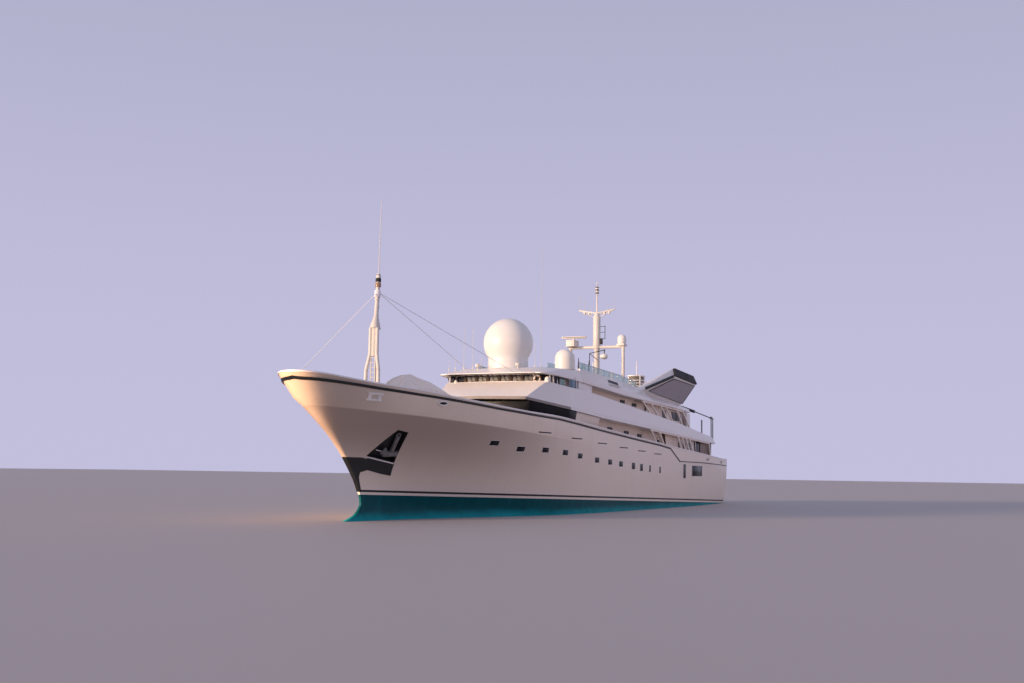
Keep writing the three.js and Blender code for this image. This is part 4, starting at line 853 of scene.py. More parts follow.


# Main deck house. Forward it is the lounge, all black glazing between slim mullions right up
# to the bridge deck's edge; abaft it is painted plate with small windows and doors.
# The walls under the overhangs are white plate drawn as a lighter, warmer cream: painted light for the warm
# light thrown back into their shade.
painted_bounce_cream = clouded("painted_bounce_cream", 0.7, (0.86, 0.75, 0.66), (0.93, 0.83, 0.74), 0.4, 0.2, 2.0)
main_house = refined("main_house", 0.03)
choose(main_house, lambda c, n: abs(n.y) > 0.5)
bpy.ops.mesh.bisect(plane_co=(10.0, 0, 0), plane_no=(1, 0, 0))
bpy.ops.object.mode_set(mode="OBJECT")
settle(main_house, "main_house_walls", stands_for=("main_house",))
paint_faces(main_house, [painted_bounce_cream, dark_glass], lambda c, n: int(c.x > 1.0))
mullion_lines = []
for x, low_y, top_y in ((12.2, 4.8, 5.2), (10.0, 5.33, 5.4)):
    for s in (1, -1):
        mullion_lines.append(rod([(x, s * low_y, 6.4), (x, s * top_y, 8.6)], 0.04, 6))
settle(together(*mullion_lines), "lounge_mullions", black_paint)

# Small windows and side doors of the main deck house, dark panes let into its white plating,
# drawn cream with painted light, in thin black beads. One wide pane closes the saloon towards
# the after deck.
HOUSE_SIDE = 5.25
MAIN_WINDOWS = [(4.4, 7.58), (-0.4, 7.42), (-5.0, 7.25), (-8.9, 7.08)]
wall_panes, wall_rims = [], []
for x, z in MAIN_WINDOWS:
    wall_panes.append(block(x - 0.62, x + 0.62, HOUSE_SIDE, 5.325, z - 0.26, z + 0.26, 0.02))
    wall_rims.append(rim_of(x - 0.64, x + 0.64, 5.325, z - 0.28, z + 0.28, 0.015))
for x in (-15.0, -22.6):
    foot = np.interp(x, [-22.6, 1.4], [4.85, 6.0])
    wall_panes.append(block(x - 0.3, x + 0.3, HOUSE_SIDE, 5.33, foot + 1.05, foot + 1.75, 0.02))
    wall_rims.append(rim_of(x - 0.45, x + 0.45, 5.33, foot + 0.1, foot + 2.0, 0.012))
wall_panes.append(block(-27.99, -27.9, -3.2, 3.2, 4.9, 6.7, 0.02))
settle(both_sides(together(*wall_panes)), "main_house_panes", dark_glass)
settle(both_sides(together(*wall_rims)), "main_house_window_rims", black_paint)

# Bridge deck, laid with teak above and plated white below, inside its raked bulwark. The
# bulwark is one broad band with a three-sided prow, drawn in at the top. A dark grey painted
# shadow goes on the band's lower lip and the deck's forward edge, and the dark glass on the
# forward part of the deck's underside is painted shade on the white plating.
lip_shadow = clouded("lip_shadow", 1.0, (0.27, 0.235, 0.215), (0.33, 0.29, 0.27), 0.5, 0.2, 3.0)
bridge_deck = plated("bridge_deck", "floor", bevel=0.02)
paint_faces(bridge_deck, [house_paint, teak, dark_glass, lip_shadow],
            lambda c, n: 1 if n.z > 0.9 else 3 if n.x > 0.3 else 2 if n.z < -0.5 and c.x > 0.478 else 0)
band = plated("bridge_bulwark", "band", bevel=0.035, angle=12, smooth=8)
# The band's upright lower lip takes the painted shadow.
paint_faces(band, [house_paint, lip_shadow], lambda c, n: int(abs(n.z) < 0.3 and n.x > 0.3 and c.x > 1.2))
CAPPING = [
    (13.0, 0.0, 11.08), (13.1, 4.6, 11.02), (10.45, 5.58, 10.68), (7.2, 5.94, 10.52),
    (3.0, 5.94, 10.3), (-6.4, 5.99, 9.72), (-20.0, 5.99, 8.88), (-33.8, 5.79, 7.82),
]
capping = [rod([(x, s * y, z) for x, y, z in CAPPING], 0.045, 8) for s in (1, -1)]
settle(together(*capping), "bridge_bulwark_capping", house_paint)

# Bridge deck house, the cabins behind the wheelhouse, of white steel plate drawn in a warm cream
# that is painted light. It has two slot windows and a door pane on each side and a wide pane
# across its after end.
plated("bridge_house", "walls", painted_bounce_cream)
CABIN_WINDOWS = [
    # x, z, half width, half height
    (-5.8, 10.42, 0.65, 0.15), (-9.3, 10.28, 0.65, 0.15), (3.4, 10.0, 0.275, 0.4),
]
cabin, rims = [], []
for x, z, half, high in CABIN_WINDOWS:
    cabin.append(block(x - half, x + half, 4.55, 4.63, z - high, z + high, 0.02))
    rims.append(rim_of(x - half, x + half, 4.63, z - high, z + high, 0.013))
cabin.append(block(-17.05, -16.95, -2.8, 2.8, 8.2, 10.1, 0.02))
settle(both_sides(together(*cabin)), "bridge_house_panes", dark_glass)
settle(both_sides(together(*rims)), "bridge_house_window_rims", black_paint)

# Wheelhouse, welded plate with deep windows right round. Clear panes sit in dark rubber; the
# side doors are hung on their forward edge, with a round-cornered light in the upper half.
wheelhouse = plated("wheelhouse", "walls", bevel=0.02)
cabin_lining = finish("cabin_lining", lambda t: {
    "Base Color": t.mixed(t.noise(1.0, (1, 1, 6)), (0.05, 0.032, 0.024), (0.11, 0.07, 0.05)),
    "Roughness": 0.4 + 0.3 * t.noise(3.0)})
paint_faces(wheelhouse, [house_paint, cabin_lining],
            lambda c, n: int(n.x * (c.x - 0.98) + n.y * c.y < -0.01))
rubber = clouded("black_rubber", 4.0, (0.010, 0.010, 0.011), (0.03, 0.03, 0.032), 0.6, 0.25, 6.0)
clear_glass = clouded("smoked_glass", 0.8, (0.035, 0.035, 0.045), (0.07, 0.068, 0.085), 0.22, 0.12, 2.0,
                      Alpha=0.88, Specular_IOR_Level=0.2)
front_panes, seals = [], []
SILL, HEAD = 10.45, 11.66
for y in (-2.7, -1.62, -0.54, 0.54, 1.62, 2.7):
    x = 12.545 - 0.03 * abs(y) / 3.3
    front_panes.append(block(x - 0.03, x, y - 0.42, y + 0.42, SILL, HEAD, 0.0))
    corners = ((y - 0.4, SILL), (y + 0.4, SILL), (y + 0.4, HEAD), (y - 0.4, HEAD))
    seals.append(rod([(x, *corner) for corner in corners], 0.035, 6, True))
for s in (1, -1):
    middle, along_wall = Vector((12.1, s * 3.9, 0)), Vector((-0.8, s * 1.2, 0)).normalized()
    near, far = middle - along_wall * 0.55, middle + along_wall * 0.55
    slanted = [(e.x, e.y, z) for e, z in ((near, SILL), (far, SILL), (far, HEAD), (near, HEAD))]
    front_panes.append(plate(slanted, 0.03))
    seals.append(rod(slanted, 0.035, 6, True))
    front_panes.append(block(10.0, 11.4, s * 4.43, s * 4.46, SILL, HEAD, 0.0))
    seals.append(rim_of(10, 11.4, s * 4.47, SILL, HEAD, 0.035))
for s in (1, -1):
    wing = [(12.3, s * 4.4, 10.7), (12.0, s * 4.95, 10.8), (12.0, s * 5.25, 11.6),
            (12.3, s * 4.4, 11.66)]
    front_panes.append(plate(wing, 0.03))
    seals.append(rod(wing, 0.04, 6, True))
settle(together(*front_panes), "wheelhouse_panes", clear_glass)
bronze_trim = clouded("bronze_trim", 3.0, (0.05, 0.036, 0.028), (0.09, 0.065, 0.05), 0.5, 0.2, 6.0,
                      Specular_IOR_Level=0.2)
pillars = [block(12.5, 12.635, y - 0.14, y + 0.14, SILL - 0.03, HEAD + 0.03, 0.01)
           for y in (-3.24, -2.16, -1.08, 0.0, 1.08, 2.16)]
settle(together(*pillars), "wheelhouse_window_pillars", bronze_trim)
settle(together(*seals), "wheelhouse_window_seals", rubber)

# Window wipers, a black arm and blade hung from a small motor box above each front window.
# They are modelled once and copied along the front.
wiper = together(rod([(0, 0, 0.95), (0, 0.28, 0.25)], 0.018, 6),
                 rod([(0.01, 0.3, 0.55), (0.01, 0.22, 0.02)], 0.022, 6),
                 block(-0.04, 0.05, -0.05, 0.05, 0.92, 1.02, 0.01))
wipers = copied(wiper, [Matrix.Translation((12.6, y, SILL + 0.22))
                        for y in (-2.8, -1.72, -0.64, 0.44, 1.52, 2.6)])
settle(wipers, "window_wipers", rubber)

# Steering console, a grey enamelled desk bolted to the wheelhouse floor behind the windows. It
# carries four screens and a spoked steering wheel on the centreline.
console = [block(11.2, 12.0, -3.6, 3.6, 8.95, 10.25, 0.06),
           block(11.0, 11.6, -3.4, 3.4, 10.05, 10.35, 0.05)]
console += [block(10.9, 11.1, y - 0.3, y + 0.3, 10.3, 10.75, 0.03) for y in (-2.2, -1.2, 1.2, 2.2)]
WHEEL_X, WHEEL_Z, WHEEL_RADIUS = 10.7, 10.1, 0.45
wheel = rod([(WHEEL_X, y, WHEEL_Z + z) for y, z in ring(WHEEL_RADIUS, 18)], 0.03, 8, True)
spokes = []
for a in (0.3, 1.35, 2.4):
    y, z = WHEEL_RADIUS * math.cos(a), WHEEL_RADIUS * math.sin(a)
    spokes.append(rod([(WHEEL_X, y, WHEEL_Z + z), (WHEEL_X, -y, WHEEL_Z - z)], 0.02, 6))
console_grey = clouded("console_grey", 2.0, (0.10, 0.09, 0.085), (0.18, 0.165, 0.15), 0.4, 0.3, 5.0)
hub = rod([(WHEEL_X, 0, WHEEL_Z), (11.3, 0, WHEEL_Z)], 0.05)
settle(together(*console, wheel, *spokes, hub), "steering_console", console_grey)

# Helm chairs, two padded seats in tan leather stitched over a moulded shell. Each stands on a
# turned steel post that is bolted to the floor.
CHAIR_SIDES = (-1.1, 1.1)
POST_PROFILE = [(0.0, 8.95), (0.28, 8.95), (0.06, 9.05), (0.06, 9.75), (0.0, 9.75)]
seat_post = [turned(POST_PROFILE, 9.7, y, 14) for y in CHAIR_SIDES]
settle(together(*seat_post), "helm_chair_posts", steel)


def leather_recipe(t):
    crease = t.node("TexVoronoi", {"feature": "DISTANCE_TO_EDGE"}, Vector=t.place(), Scale=14.0)
    return {"Base Color": t.mixed(t.noise(2.0), (0.20, 0.14, 0.10), (0.30, 0.22, 0.16)),
            "Roughness": 0.45 + 0.2 * t.noise(9.0), "Height": t.ramp(crease, 0.0, 0.08)}


leather = finish("tan_leather", leather_recipe, bump=0.3)
chairs = []
for y in CHAIR_SIDES:
    for x0, x1, z0, z1 in ((9.42, 9.98, 9.72, 9.9), (9.36, 9.52, 9.85, 10.55)):
        pad = block(x0, x1, y - 0.28, y + 0.28, z0, z1, 0.05)
        chairs.append(shaped(pad, "SUBSURF", levels=2, render_levels=2))
chairs = settle(together(*chairs), "helm_chair_pads", leather)

# Wheelhouse side doors, plated leaves hung on their forward edge that swing outwards. Each has
# a dark pane with a steel bead in its upper half and a bent steel handle.
for s, name in ((1, "port"), (-1, "starboard")):
    node = f"wheelhouse_door_{name}"
    plated(node, "leaf", house_paint, 0.012, body=node)
    low, high = [Vector(c) * 10 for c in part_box(node)]
    out_y = high.y if s > 0 else low.y
    light = block(low.x + 0.18, high.x - 0.18, out_y - s * 0.035, out_y + s * 0.006,
                  low.z + 1.05, high.z - 0.2, 0.01)
    rim = rim_of(low.x + 0.16, high.x - 0.16, out_y + s * 0.004, low.z + 1.03, high.z - 0.18, 0.02)
    handle = rod([(low.x + 0.1, out_y, low.z + 0.9), (low.x + 0.1, out_y + s * 0.05, low.z + 0.9),
                  (low.x + 0.24, out_y + s * 0.05, low.z + 0.9)], 0.015, 8)
    settle(light, node + "_light", dark_glass, body=node)
    settle(together(rim, handle), node + "_fittings", steel, body=node)

# Lifebuoy on the wheelhouse's port corner, a ring of cork covered with painted canvas, orange
# and white by turns. It hangs in a dark rack that is screwed to the front.
BUOY = Vector((12.66, 3.6, 11.3))
rack = block(12.52, 12.56, 3.2, 4.0, SILL + 0.02, HEAD - 0.05, 0.02)
bpy.ops.object.select_all(action="DESELECT")
bpy.ops.mesh.primitive_torus_add(major_radius=0.26, minor_radius=0.075,
                                 major_segments=36, minor_segments=12)
buoy = bpy.context.object
buoy.data.transform(Matrix.Rotation(math.radians(90), 4, "Y"))
buoy.data.transform(Matrix.Translation(BUOY))
settle(rack, "lifebuoy_rack", rubber)


def buoy_recipe(t):
    where = t.place()
    angle = t.maths("ARCTAN2", t.axis("Z", where) - BUOY.z, t.axis("Y", where) - BUOY.y)
    stripe_mask = t.ramp(t.maths("SINE", angle * 4.0), 0.25, 0.35)
    weave = t.noise(30.0)
    return {"Base Color": t.mixed(stripe_mask, (0.86, 0.83, 0.79), (0.50, 0.26, 0.18)),
            "Roughness": 0.6 + 0.2 * weave, "Height": weave}


settle(buoy, "lifebuoy", finish("buoy_canvas", buoy_recipe, bump=0.3))

# Wing walls, wheelhouse roof and sun deck, welded plate painted white, with teak laid on the
# sun deck between its raised rims. The roof's brow droops over the windows.
for name in ("wing_wall_port", "wing_wall_starboard"):
    plated(name, "plate", house_paint, 0.02)
plated("wheelhouse_roof", "plate", house_paint, angle=20, smooth=18)
sun_deck = plated("sun_deck", "shell")
paint_faces(sun_deck, [house_paint, teak], lambda c, n: int(n.z > 0.95 and abs(c.y) < 0.5 and c.z < 1.165))


# Wing screens, two fixed panes of teal and blue glass on each bridge wing, between the slanted
# white posts that carry the roof. Each pane sits in a bright steel bead.
pale_teal = clouded("pale_teal_glass", 0.6, (0.26, 0.56, 0.56), (0.42, 0.68, 0.66), 0.06, 0.1, 1.5,
                    Alpha=0.45)
night_glass = clouded("blue_glass", 0.8, (0.01, 0.07, 0.13), (0.02, 0.14, 0.22), 0.05, 0.1, 2.0)
wing_seals = []
WING_SCREENS = [
    # fore and after ends, outer face, lower and upper edges, name, glass
    (10.5, 11.6, 5.26, 10.72, 11.32, "fore", pale_teal),
    (9.0, 10.4, 5.62, 10.6, 11.36, "after", night_glass),
]
for x0, x1, y, z0, z1, name, glass in WING_SCREENS:
    pane = block(x0, x1, y - 0.04, y, z0, z1, 0.01)
    settle(both_sides(pane), f"wing_screen_{name}_glass", glass)
    wing_seals.append(rim_of(x0, x1, y - 0.01, z0, z1, 0.03))
wing_posts = [rod([(x, y, 10.5), (x, y - 0.1, 11.7)], 0.06, 8)
              for x, y in ((12.6, 4.8), (12.2, 4.95), (11.75, 5.1), (8.85, 5.66))]
settle(both_sides(together(*wing_seals)), "wing_screen_seals", steel)
settle(both_sides(together(*wing_posts)), "wing_posts", house_paint)

# Bridge lamps, two round searchlights under clear domes on the band's top, turned shells on low
# feet. The port one is larger than the starboard one.
lamp_glass = clouded("lamp_glass", 3.0, (0.78, 0.75, 0.70), (0.88, 0.86, 0.82), 0.12, 0.1, 6.0)
lamp_domes = []
for y, z, r in ((4.7, 10.9, 0.2), (-3.9, 10.75, 0.14)):
    lamp_domes.append(turned([
        (0.0, z), (r, z), (r + 0.04, z + 0.2), (r, z + 0.42), (r / 2, z + 0.52), (0.0, z + 0.54)],
        13.05, y, 16))
settle(together(*lamp_domes), "bridge_wing_lamps", lamp_glass)

# Air intakes, a black slot in each raked side of the sun deck over a scoop of white plate. The
# side leans in as it rises, and both follow it.
WING_FOOT, WING_SLOPE = 10.97, 0.32
SLOT = [(0.1, 11.86), (-2.7, 11.78), (-2.5, 12.02), (0.0, 12.12)]
intake = plate([(x, 5.61 - WING_SLOPE * (z - WING_FOOT), z) for x, z in SLOT], 0.03)
scoop = plate([(0.2, 5.52, 11.66), (-2.8, 5.54, 11.6), (-2.8, 5.36, 11.7), (0.2, 5.34, 11.78)], 0.06)
settle(both_sides(intake), "air_intake_openings", black_paint)
settle(both_sides(scoop), "air_intake_scoops", house_paint)

# Wind screens, sheets of pale teal glass along the sun deck's rim. They are clamped between slim
# posts of bright steel that carry a rail.
for name in ("windscreen_port", "windscreen_starboard"):
    plated(name, "glass", pale_teal, bevel=0.0, smooth=0)


def under_sun_deck(x):
    return float(np.interp(x, [-28, -4, 14.4], [10.42, 10.86, 11.62]))


def rim_place(x):
    foot = float(np.interp(x, [-28, -20, 7], [4.9, 5.5, 5.6]))
    top = float(np.interp(x, [-28, -22, -12.6, -10, -4, 7], [10.85, 11.05, 11.3, 11.9, 12.3, 12.58]))
    return foot - WING_SLOPE * (top - under_sun_deck(x)), top


bright_steel = finish("bright_steel", lambda t: {
    "Base Color": t.mixed(t.noise(5.0), (0.62, 0.60, 0.58), (0.78, 0.75, 0.72)),
    "Roughness": 0.2 + 0.2 * t.noise(8.0), "Height": t.noise(25.0)}, bump=0.1, Metallic=0.85)
screen_posts = []
for x in np.linspace(6.8, -8.6, 13):
    y, z = rim_place(x)
    screen_posts.append(rod([(x, y - 0.12, z - 0.05), (x, y - 0.12, z + 0.6)], 0.035, 8))
for a, b in ((6.8, -4.0), (-4.0, -8.6)):
    (ya, za), (yb, zb) = rim_place(a), rim_place(b)
    screen_posts.append(rod([(a, ya - 0.12, za + 0.57), (b, yb - 0.12, zb + 0.57)], 0.03, 8))
settle(both_sides(together(*screen_posts)), "windscreen_posts", bright_steel)


# Funnels, two plated arms that lean outboard from the sun deck. Each ends in a black louvred
# outlet, with a black stripe along its front edge and a grey lining panel on its outer side.
def louvre_recipe(t):
    slat = t.maths("SINE", t.axis("Z", t.place()) * 40.0)
    return {"Base Color": t.mixed(t.noise(3.0), (0.004, 0.004, 0.005), (0.02, 0.02, 0.023)),
            "Roughness": 0.35 + 0.3 * t.noise(5.0), "Height": slat}


soot_black = finish("soot_black", louvre_recipe, bump=0.3)
lining_grey = clouded("lining_grey", 0.5, (0.36, 0.33, 0.36), (0.44, 0.41, 0.44), 0.45, 0.2, 3.0)
OUTLET = [(-16.9, 6.45, 13.75), (-17.6, 6.1, 14.6), (-24.8, 6.1, 14.3), (-25.0, 6.45, 13.4)]
FUNNEL_FOOT = [(-10.9, 5.1, 11.97), (-23.6, 5.07, 11.02)]
for s, name in ((1, "port"), (-1, "starboard")):
    node = f"funnel_{name}"
    plated(node, "arm", house_paint, 0.05)
    low_fore, top_fore, top_aft, low_aft = [Vector((x, s * y, z)) for x, y, z in OUTLET]
    foot_fore, foot_aft = [Vector((x, s * y, z)) for x, y, z in FUNNEL_FOOT]
    up = (low_fore - top_fore).cross(top_aft - top_fore).normalized() * s
    outlet = plate([p + up * 0.08 for p in (top_fore, low_fore, low_aft, top_aft)], 0.16, 0.02)
    slats = [rod([top_fore.lerp(low_fore, f) + up * 0.17, top_aft.lerp(low_aft, f) + up * 0.17], 0.05, 6)
             for f in (0.06, 0.24, 0.42, 0.6, 0.78, 0.94)]
    settle(together(outlet, *slats), node + "_outlet", soot_black)
    stripe = rod([foot_fore.lerp(low_fore, 0.06), foot_fore.lerp(low_fore, 0.97)], 0.15, 8)
    settle(stripe, node + "_stripe", black_paint)
    inset = [foot_fore + (foot_aft - foot_fore) * 0.1 + (low_fore - foot_fore) * 0.02,
             low_fore + (foot_fore - low_fore) * 0.12 + (low_aft - low_fore) * 0.12,
             low_aft + (foot_aft - low_aft) * 0.06 + (low_fore - low_aft) * 0.04,
             foot_aft + (low_aft - foot_aft) * 0.1]
    normal = (inset[1] - inset[0]).cross(inset[3] - inset[0]).normalized()
    normal = normal if normal.y * s > 0 else -normal
    inset = [p + normal * 0.06 for p in inset]
    settle(plate(inset, 0.05), node + "_lining", lining_grey)
    edge = rod([p + normal * 0.02 for p in inset], 0.045, 6, True)
    settle(edge, node + "_lining_edge", black_paint)

# Louvred casings, two ventilator boxes abaft the mast. Folded blades of white plate are stacked
# between corner posts round a dark core, under a lid with a short pole.
for name in ("louvred_casing_port", "louvred_casing_starboard"):
    plated(name, "core", console_grey, 0.02)
blade = block(-17.08, -15.62, 1.77, 3.13, -0.05, 0.05, 0.02)
corner_posts = [rod([(x, y, 11.0), (x, y, 13.82)], 0.08, 6) for x in (-17.02, -15.68) for y in (1.83, 3.07)]
lid = block(-17.15, -15.55, 1.7, 3.2, 13.72, 13.84, 0.03)
pole_up = rod([(-16.3, 2.5, 13.8), (-16.3, 2.5, 15.4)], 0.05, 8)
blades = copied(blade, [Matrix.Translation((0, 0, z)) for z in np.arange(11.5, 13.6, 0.3)])
louvres = both_sides(together(blades, *corner_posts, lid, pole_up))
settle(louvres, "louvred_casing_blades", house_paint)

# Satellite domes, thin moulded shells made up of gores, each bolted on a ringed drum. Faint
# joints show where the gores meet.
BIG_DOME_X, SMALL_DOME_X = 10.8, -2.2
PORTAL_DOME = (-10.85, 2.75)


def dome_recipe(t, x, y=0.0):
    where = t.place()
    angle = t.maths("ARCTAN2", t.axis("Y", where) - y, t.axis("X", where) - x)
    gore = t.maths("ABSOLUTE", t.maths("SINE", angle * 6.0))
    joint = 1.0 - t.ramp(gore, 0.0, 0.035)
    dust = t.noise(1.3)
    return {"Base Color": t.mixed(dust, (0.80, 0.785, 0.75), (0.86, 0.845, 0.81)),
            "Roughness": 0.32 + 0.15 * dust, "Height": 0.0 - joint}


big_dome_shell = finish("big_dome_shell", lambda t: dome_recipe(t, BIG_DOME_X), bump=0.06)
small_dome_shell = finish("small_dome_shell", lambda t: dome_recipe(t, SMALL_DOME_X), bump=0.06)
portal_shell = finish("portal_dome_shell", lambda t: dome_recipe(t, *PORTAL_DOME), bump=0.06)


def ball_profile(radius, centre, neck, steps=18):
    angles = np.linspace(-math.acos(neck / radius), math.pi / 2, steps)[:-1]
    ball = [(max(0.0, radius * math.cos(a)), centre + radius * math.sin(a)) for a in angles]
    return ball + [(0.0, centre + radius)]


BIG_DRUM = [
    (0.0, 12.31), (1.78, 12.31), (1.78, 12.42), (1.73, 12.46), (1.73, 12.6), (1.76, 12.62),
    (1.76, 12.68), (1.73, 12.7), (1.73, 12.84), (1.76, 12.86), (1.76, 12.92), (1.73, 12.94),
    (1.73, 13.1),
]
big = turned(BIG_DRUM + ball_profile(2.16, 14.6, 1.74), BIG_DOME_X, 0.0, 48)
settle(big, "dome_large_shell", big_dome_shell, ("dome_large",), smooth=30)
SMALL_DRUM = [
    (0.0, 11.16), (0.55, 11.16), (0.5, 11.3), (0.5, 13.2), (0.98, 13.33), (1.02, 13.37),
    (1.0, 13.5), (0.97, 14.4),
]
small_cap = [(0.97 * math.cos(a), 14.4 + 0.97 * math.sin(a)) for a in np.linspace(0.12, 1.45, 11)]
small = turned(SMALL_DRUM + small_cap + [(0.0, 15.37)], SMALL_DOME_X, 0.0, 40)
settle(small, "dome_small_shell", small_dome_shell, ("dome_small",), smooth=30)
PORTAL_PROFILE = [
    (0.0, 16.655), (0.36, 16.655), (0.44, 16.8), (0.46, 17.0), (0.46, 17.15), (0.43, 17.36),
    (0.34, 17.52), (0.2, 17.6), (0.0, 17.62),
]
portal = turned(PORTAL_PROFILE, *PORTAL_DOME, 28)
settle(portal, "dome_portal_shell", portal_shell, ("dome_portal",), smooth=50)

# Radar mast, a portal, tower and yard of welded tube painted white and stepped on the sun deck.
# It carries a ladder, lamps, whips, aerial gear, a lantern, a light boom and the scanner's pedestal.
mast_paint = clouded("mast_paint", 1.5, (0.66, 0.62, 0.58), (0.76, 0.725, 0.68), 0.35, 0.2, 4.0)
plated("radar_mast", "tubes", mast_paint, 0.015)
MAST_X = -10.85
LADDER_X = MAST_X - 0.42
trim = [rod([(MAST_X, s * 0.25, 19.5), (MAST_X, s * 1.75, 20.22)], 0.04, 8) for s in (1, -1)]
trim += [rod([(MAST_X, s * y, 19.98 + 0.17 * y), (MAST_X, s * y, 19.7 + 0.24 * y)], 0.03, 6)
         for s in (1, -1) for y in (0.6, 1.1)]
trim += [rod([(LADDER_X, y, 11.5), (LADDER_X, y, 19.6)], 0.022, 6) for y in (-0.17, 0.17)]
trim += [rod([(LADDER_X, -0.17, 11.8 + 0.4 * i), (LADDER_X, 0.17, 11.8 + 0.4 * i)], 0.018, 5)
         for i in range(19)]
trim += [rod([(MAST_X, s * 2.9, 16.3), (MAST_X, s * 2.2, 16.3)], 0.05) for s in (1, -1)]
trim += [rod([(MAST_X, 0.2, 15.0), (-7.2, 0.62, 15.4)], 0.05, 8)]
settle(together(*trim), "radar_mast_brackets", mast_paint)
whips = [rod([(MAST_X, y, z), (MAST_X, y, z + h)], 0.02, 5) for y, z, h in
         ((-1.9, 20.3, 1.5), (1.9, 20.3, 1.2), (-1.4, 20.2, 1.3), (1.2, 20.2, 0.7), (-0.7, 20.05, 0.5))]
whips += [rod([(MAST_X, 0, 23.0), (MAST_X, 0, 23.28)], 0.02, 5),
          rod([(MAST_X, -0.2, 23.05), (MAST_X, 0.2, 23.05)], 0.02, 5)]
settle(together(*whips), "radar_mast_whips", mast_paint)
yard_lamp = turned([(0.0, 0.0), (0.11, 0.0), (0.13, 0.06), (0.13, 0.22), (0.08, 0.28), (0.0, 0.28)],
                   0, 0, 12)
mast_lamps = copied(yard_lamp, [Matrix.Translation((MAST_X, y, 19.66 + 0.15 * abs(y)))
                                for y in (-1.35, -0.85, 0.85, 1.35)])
settle(mast_lamps, "radar_mast_lamps", mast_paint)
dark_gear = [block(MAST_X - 0.15, MAST_X + 0.15, 0.3, 0.62, 16.7, 17.3, 0.04),
             rod([(MAST_X, 0.9, 17.2), (MAST_X, 0.9, 18.65)], 0.03, 6),
             rod([(-7.2, 0.62, 14.2), (-7.2, 0.62, 15.4), (-7.2, 2.3, 15.72)], 0.045, 8),
             rod([(-7.12, 2.2, 15.25), (-7.18, 2.24, 15.74)], 0.05, 8)]
dark_gear += [rod([(MAST_X, 0.36, z), (MAST_X, 0.9, z)], 0.025, 6) for z in (17.3, 17.95, 18.55)]
settle(together(*dark_gear), "radar_mast_dark_gear", rubber)
LAMP_PROFILE = [(0.0, 14.75), (0.2, 14.78), (0.36, 14.9), (0.4, 15.05), (0.36, 15.2), (0.2, 15.32),
                (0.0, 15.35)]
settle(turned(LAMP_PROFILE, -7.1, 2.2, 20), "boom_lamp", lamp_glass)
LANTERN_PROFILE = [
    (0.0, 22.02), (0.19, 22.02), (0.19, 22.1), (0.15, 22.14), (0.15, 22.32), (0.19, 22.36),
    (0.19, 22.42), (0.15, 22.46), (0.15, 22.62), (0.19, 22.66), (0.19, 22.72), (0.0, 22.74),
]
settle(turned(LANTERN_PROFILE, MAST_X, 0, 16), "masthead_lantern", rubber)
pedestal = [block(-11.15, -9.7, -3.05, -2.05, 16.45, 16.55, 0.02),
            block(-11.05, -9.85, -2.95, -2.15, 16.55, 17.0, 0.08),
            turned([(0.0, 17.0), (0.3, 17.0), (0.22, 17.14), (0.14, 17.3), (0.0, 17.34)],
                   MAST_X, -2.55, 16)]
settle(together(*pedestal), "scanner_pedestal", mast_paint)

# Direction finders, two dark fins of painted plate on slim posts that stand on the sun deck
# between the small dome and the mast.
dark_green = clouded("dark_green_enamel", 6.0, (0.03, 0.035, 0.03), (0.07, 0.075, 0.06), 0.7, 0.2, 20.0)
fins = [plate([(-3.4, 1.0, 13.3), (-3.0, 1.0, 13.2), (-3.3, 1.0, 14.6)], 0.05),
        plate([(-6.2, 1.0, 13.3), (-5.7, 1.0, 13.2), (-6.1, 1.0, 14.6)], 0.05)]
fins += [rod([(x, 1.0, 11.2), (x, 1.0, 13.4)], 0.05, 8) for x in (-3.2, -5.9)]
settle(together(*fins), "direction_finders", dark_green)

# Radar scanner, a white bar aerial with a black window along its forward face. It turns on the
# pedestal that is bolted to the portal's starboard end.
plated("radar_scanner", "bar", mast_paint, body="radar_scanner")
scanner_face = block(MAST_X + 0.125, MAST_X + 0.14, -3.8, -1.3, 17.48, 17.54, 0.0)
settle(scanner_face, "radar_scanner_window", rubber, body="radar_scanner")

# Foremast, three steel tubes joined by collars and a shoulder, stepped on the foredeck. It has
# a ladder between its legs, a band of lamps and a whip, and is stayed by three taut wires.
plated("foremast", "tubes", mast_paint, 0.015)
STEPS_X = 33.15
extra = [rod([(STEPS_X, 0.16, z), (STEPS_X, -0.16, z)], 0.03, 6) for z in np.arange(7.8, 11.5, 0.35)]
extra += [rod([(STEPS_X, y, 7.5), (STEPS_X, y, 11.5)], 0.045, 6) for y in (-0.17, 0.17)]
extra += [turned([(0.0, z), (0.19, z), (0.19, z + 0.05), (0.0, z + 0.05)], 32.84, 0, 14)
          for z in (14.9, 15.4)]
settle(together(*extra), "foremast_steps", mast_paint)
band_lamps = []
for z, h, r in ((16.7, 0.3, 0.18), (17.08, 0.18, 0.12)):
    band_lamps.append(turned([
        (0.0, z), (r, z), (r + 0.02, z + 0.04), (r + 0.02, z + h - 0.04), (r - 0.03, z + h),
        (0.0, z + h)], 32.73, 0, 16))
settle(together(*band_lamps), "foremast_lamps", rubber)
amber_lamp = turned([(0.0, 16.34), (0.2, 16.34), (0.21, 16.38), (0.21, 16.6), (0.18, 16.66),
                     (0.0, 16.66)], 32.74, 0, 16)
amber_lens = clouded("amber_lens", 4.0, (0.30, 0.17, 0.10), (0.45, 0.28, 0.18), 0.15, 0.1, 8.0)
settle(amber_lamp, "foremast_amber_lamp", amber_lens)
stays = refined("foremast_stays", 0.0)
stay_wire = clouded("stay_wire", 1.0, (0.86, 0.83, 0.86), (0.94, 0.91, 0.93), 0.7, 0.1, 3.0)
settle(stays, "foremast_stay_wires", stay_wire, ("foremast_stays",), smooth=80)

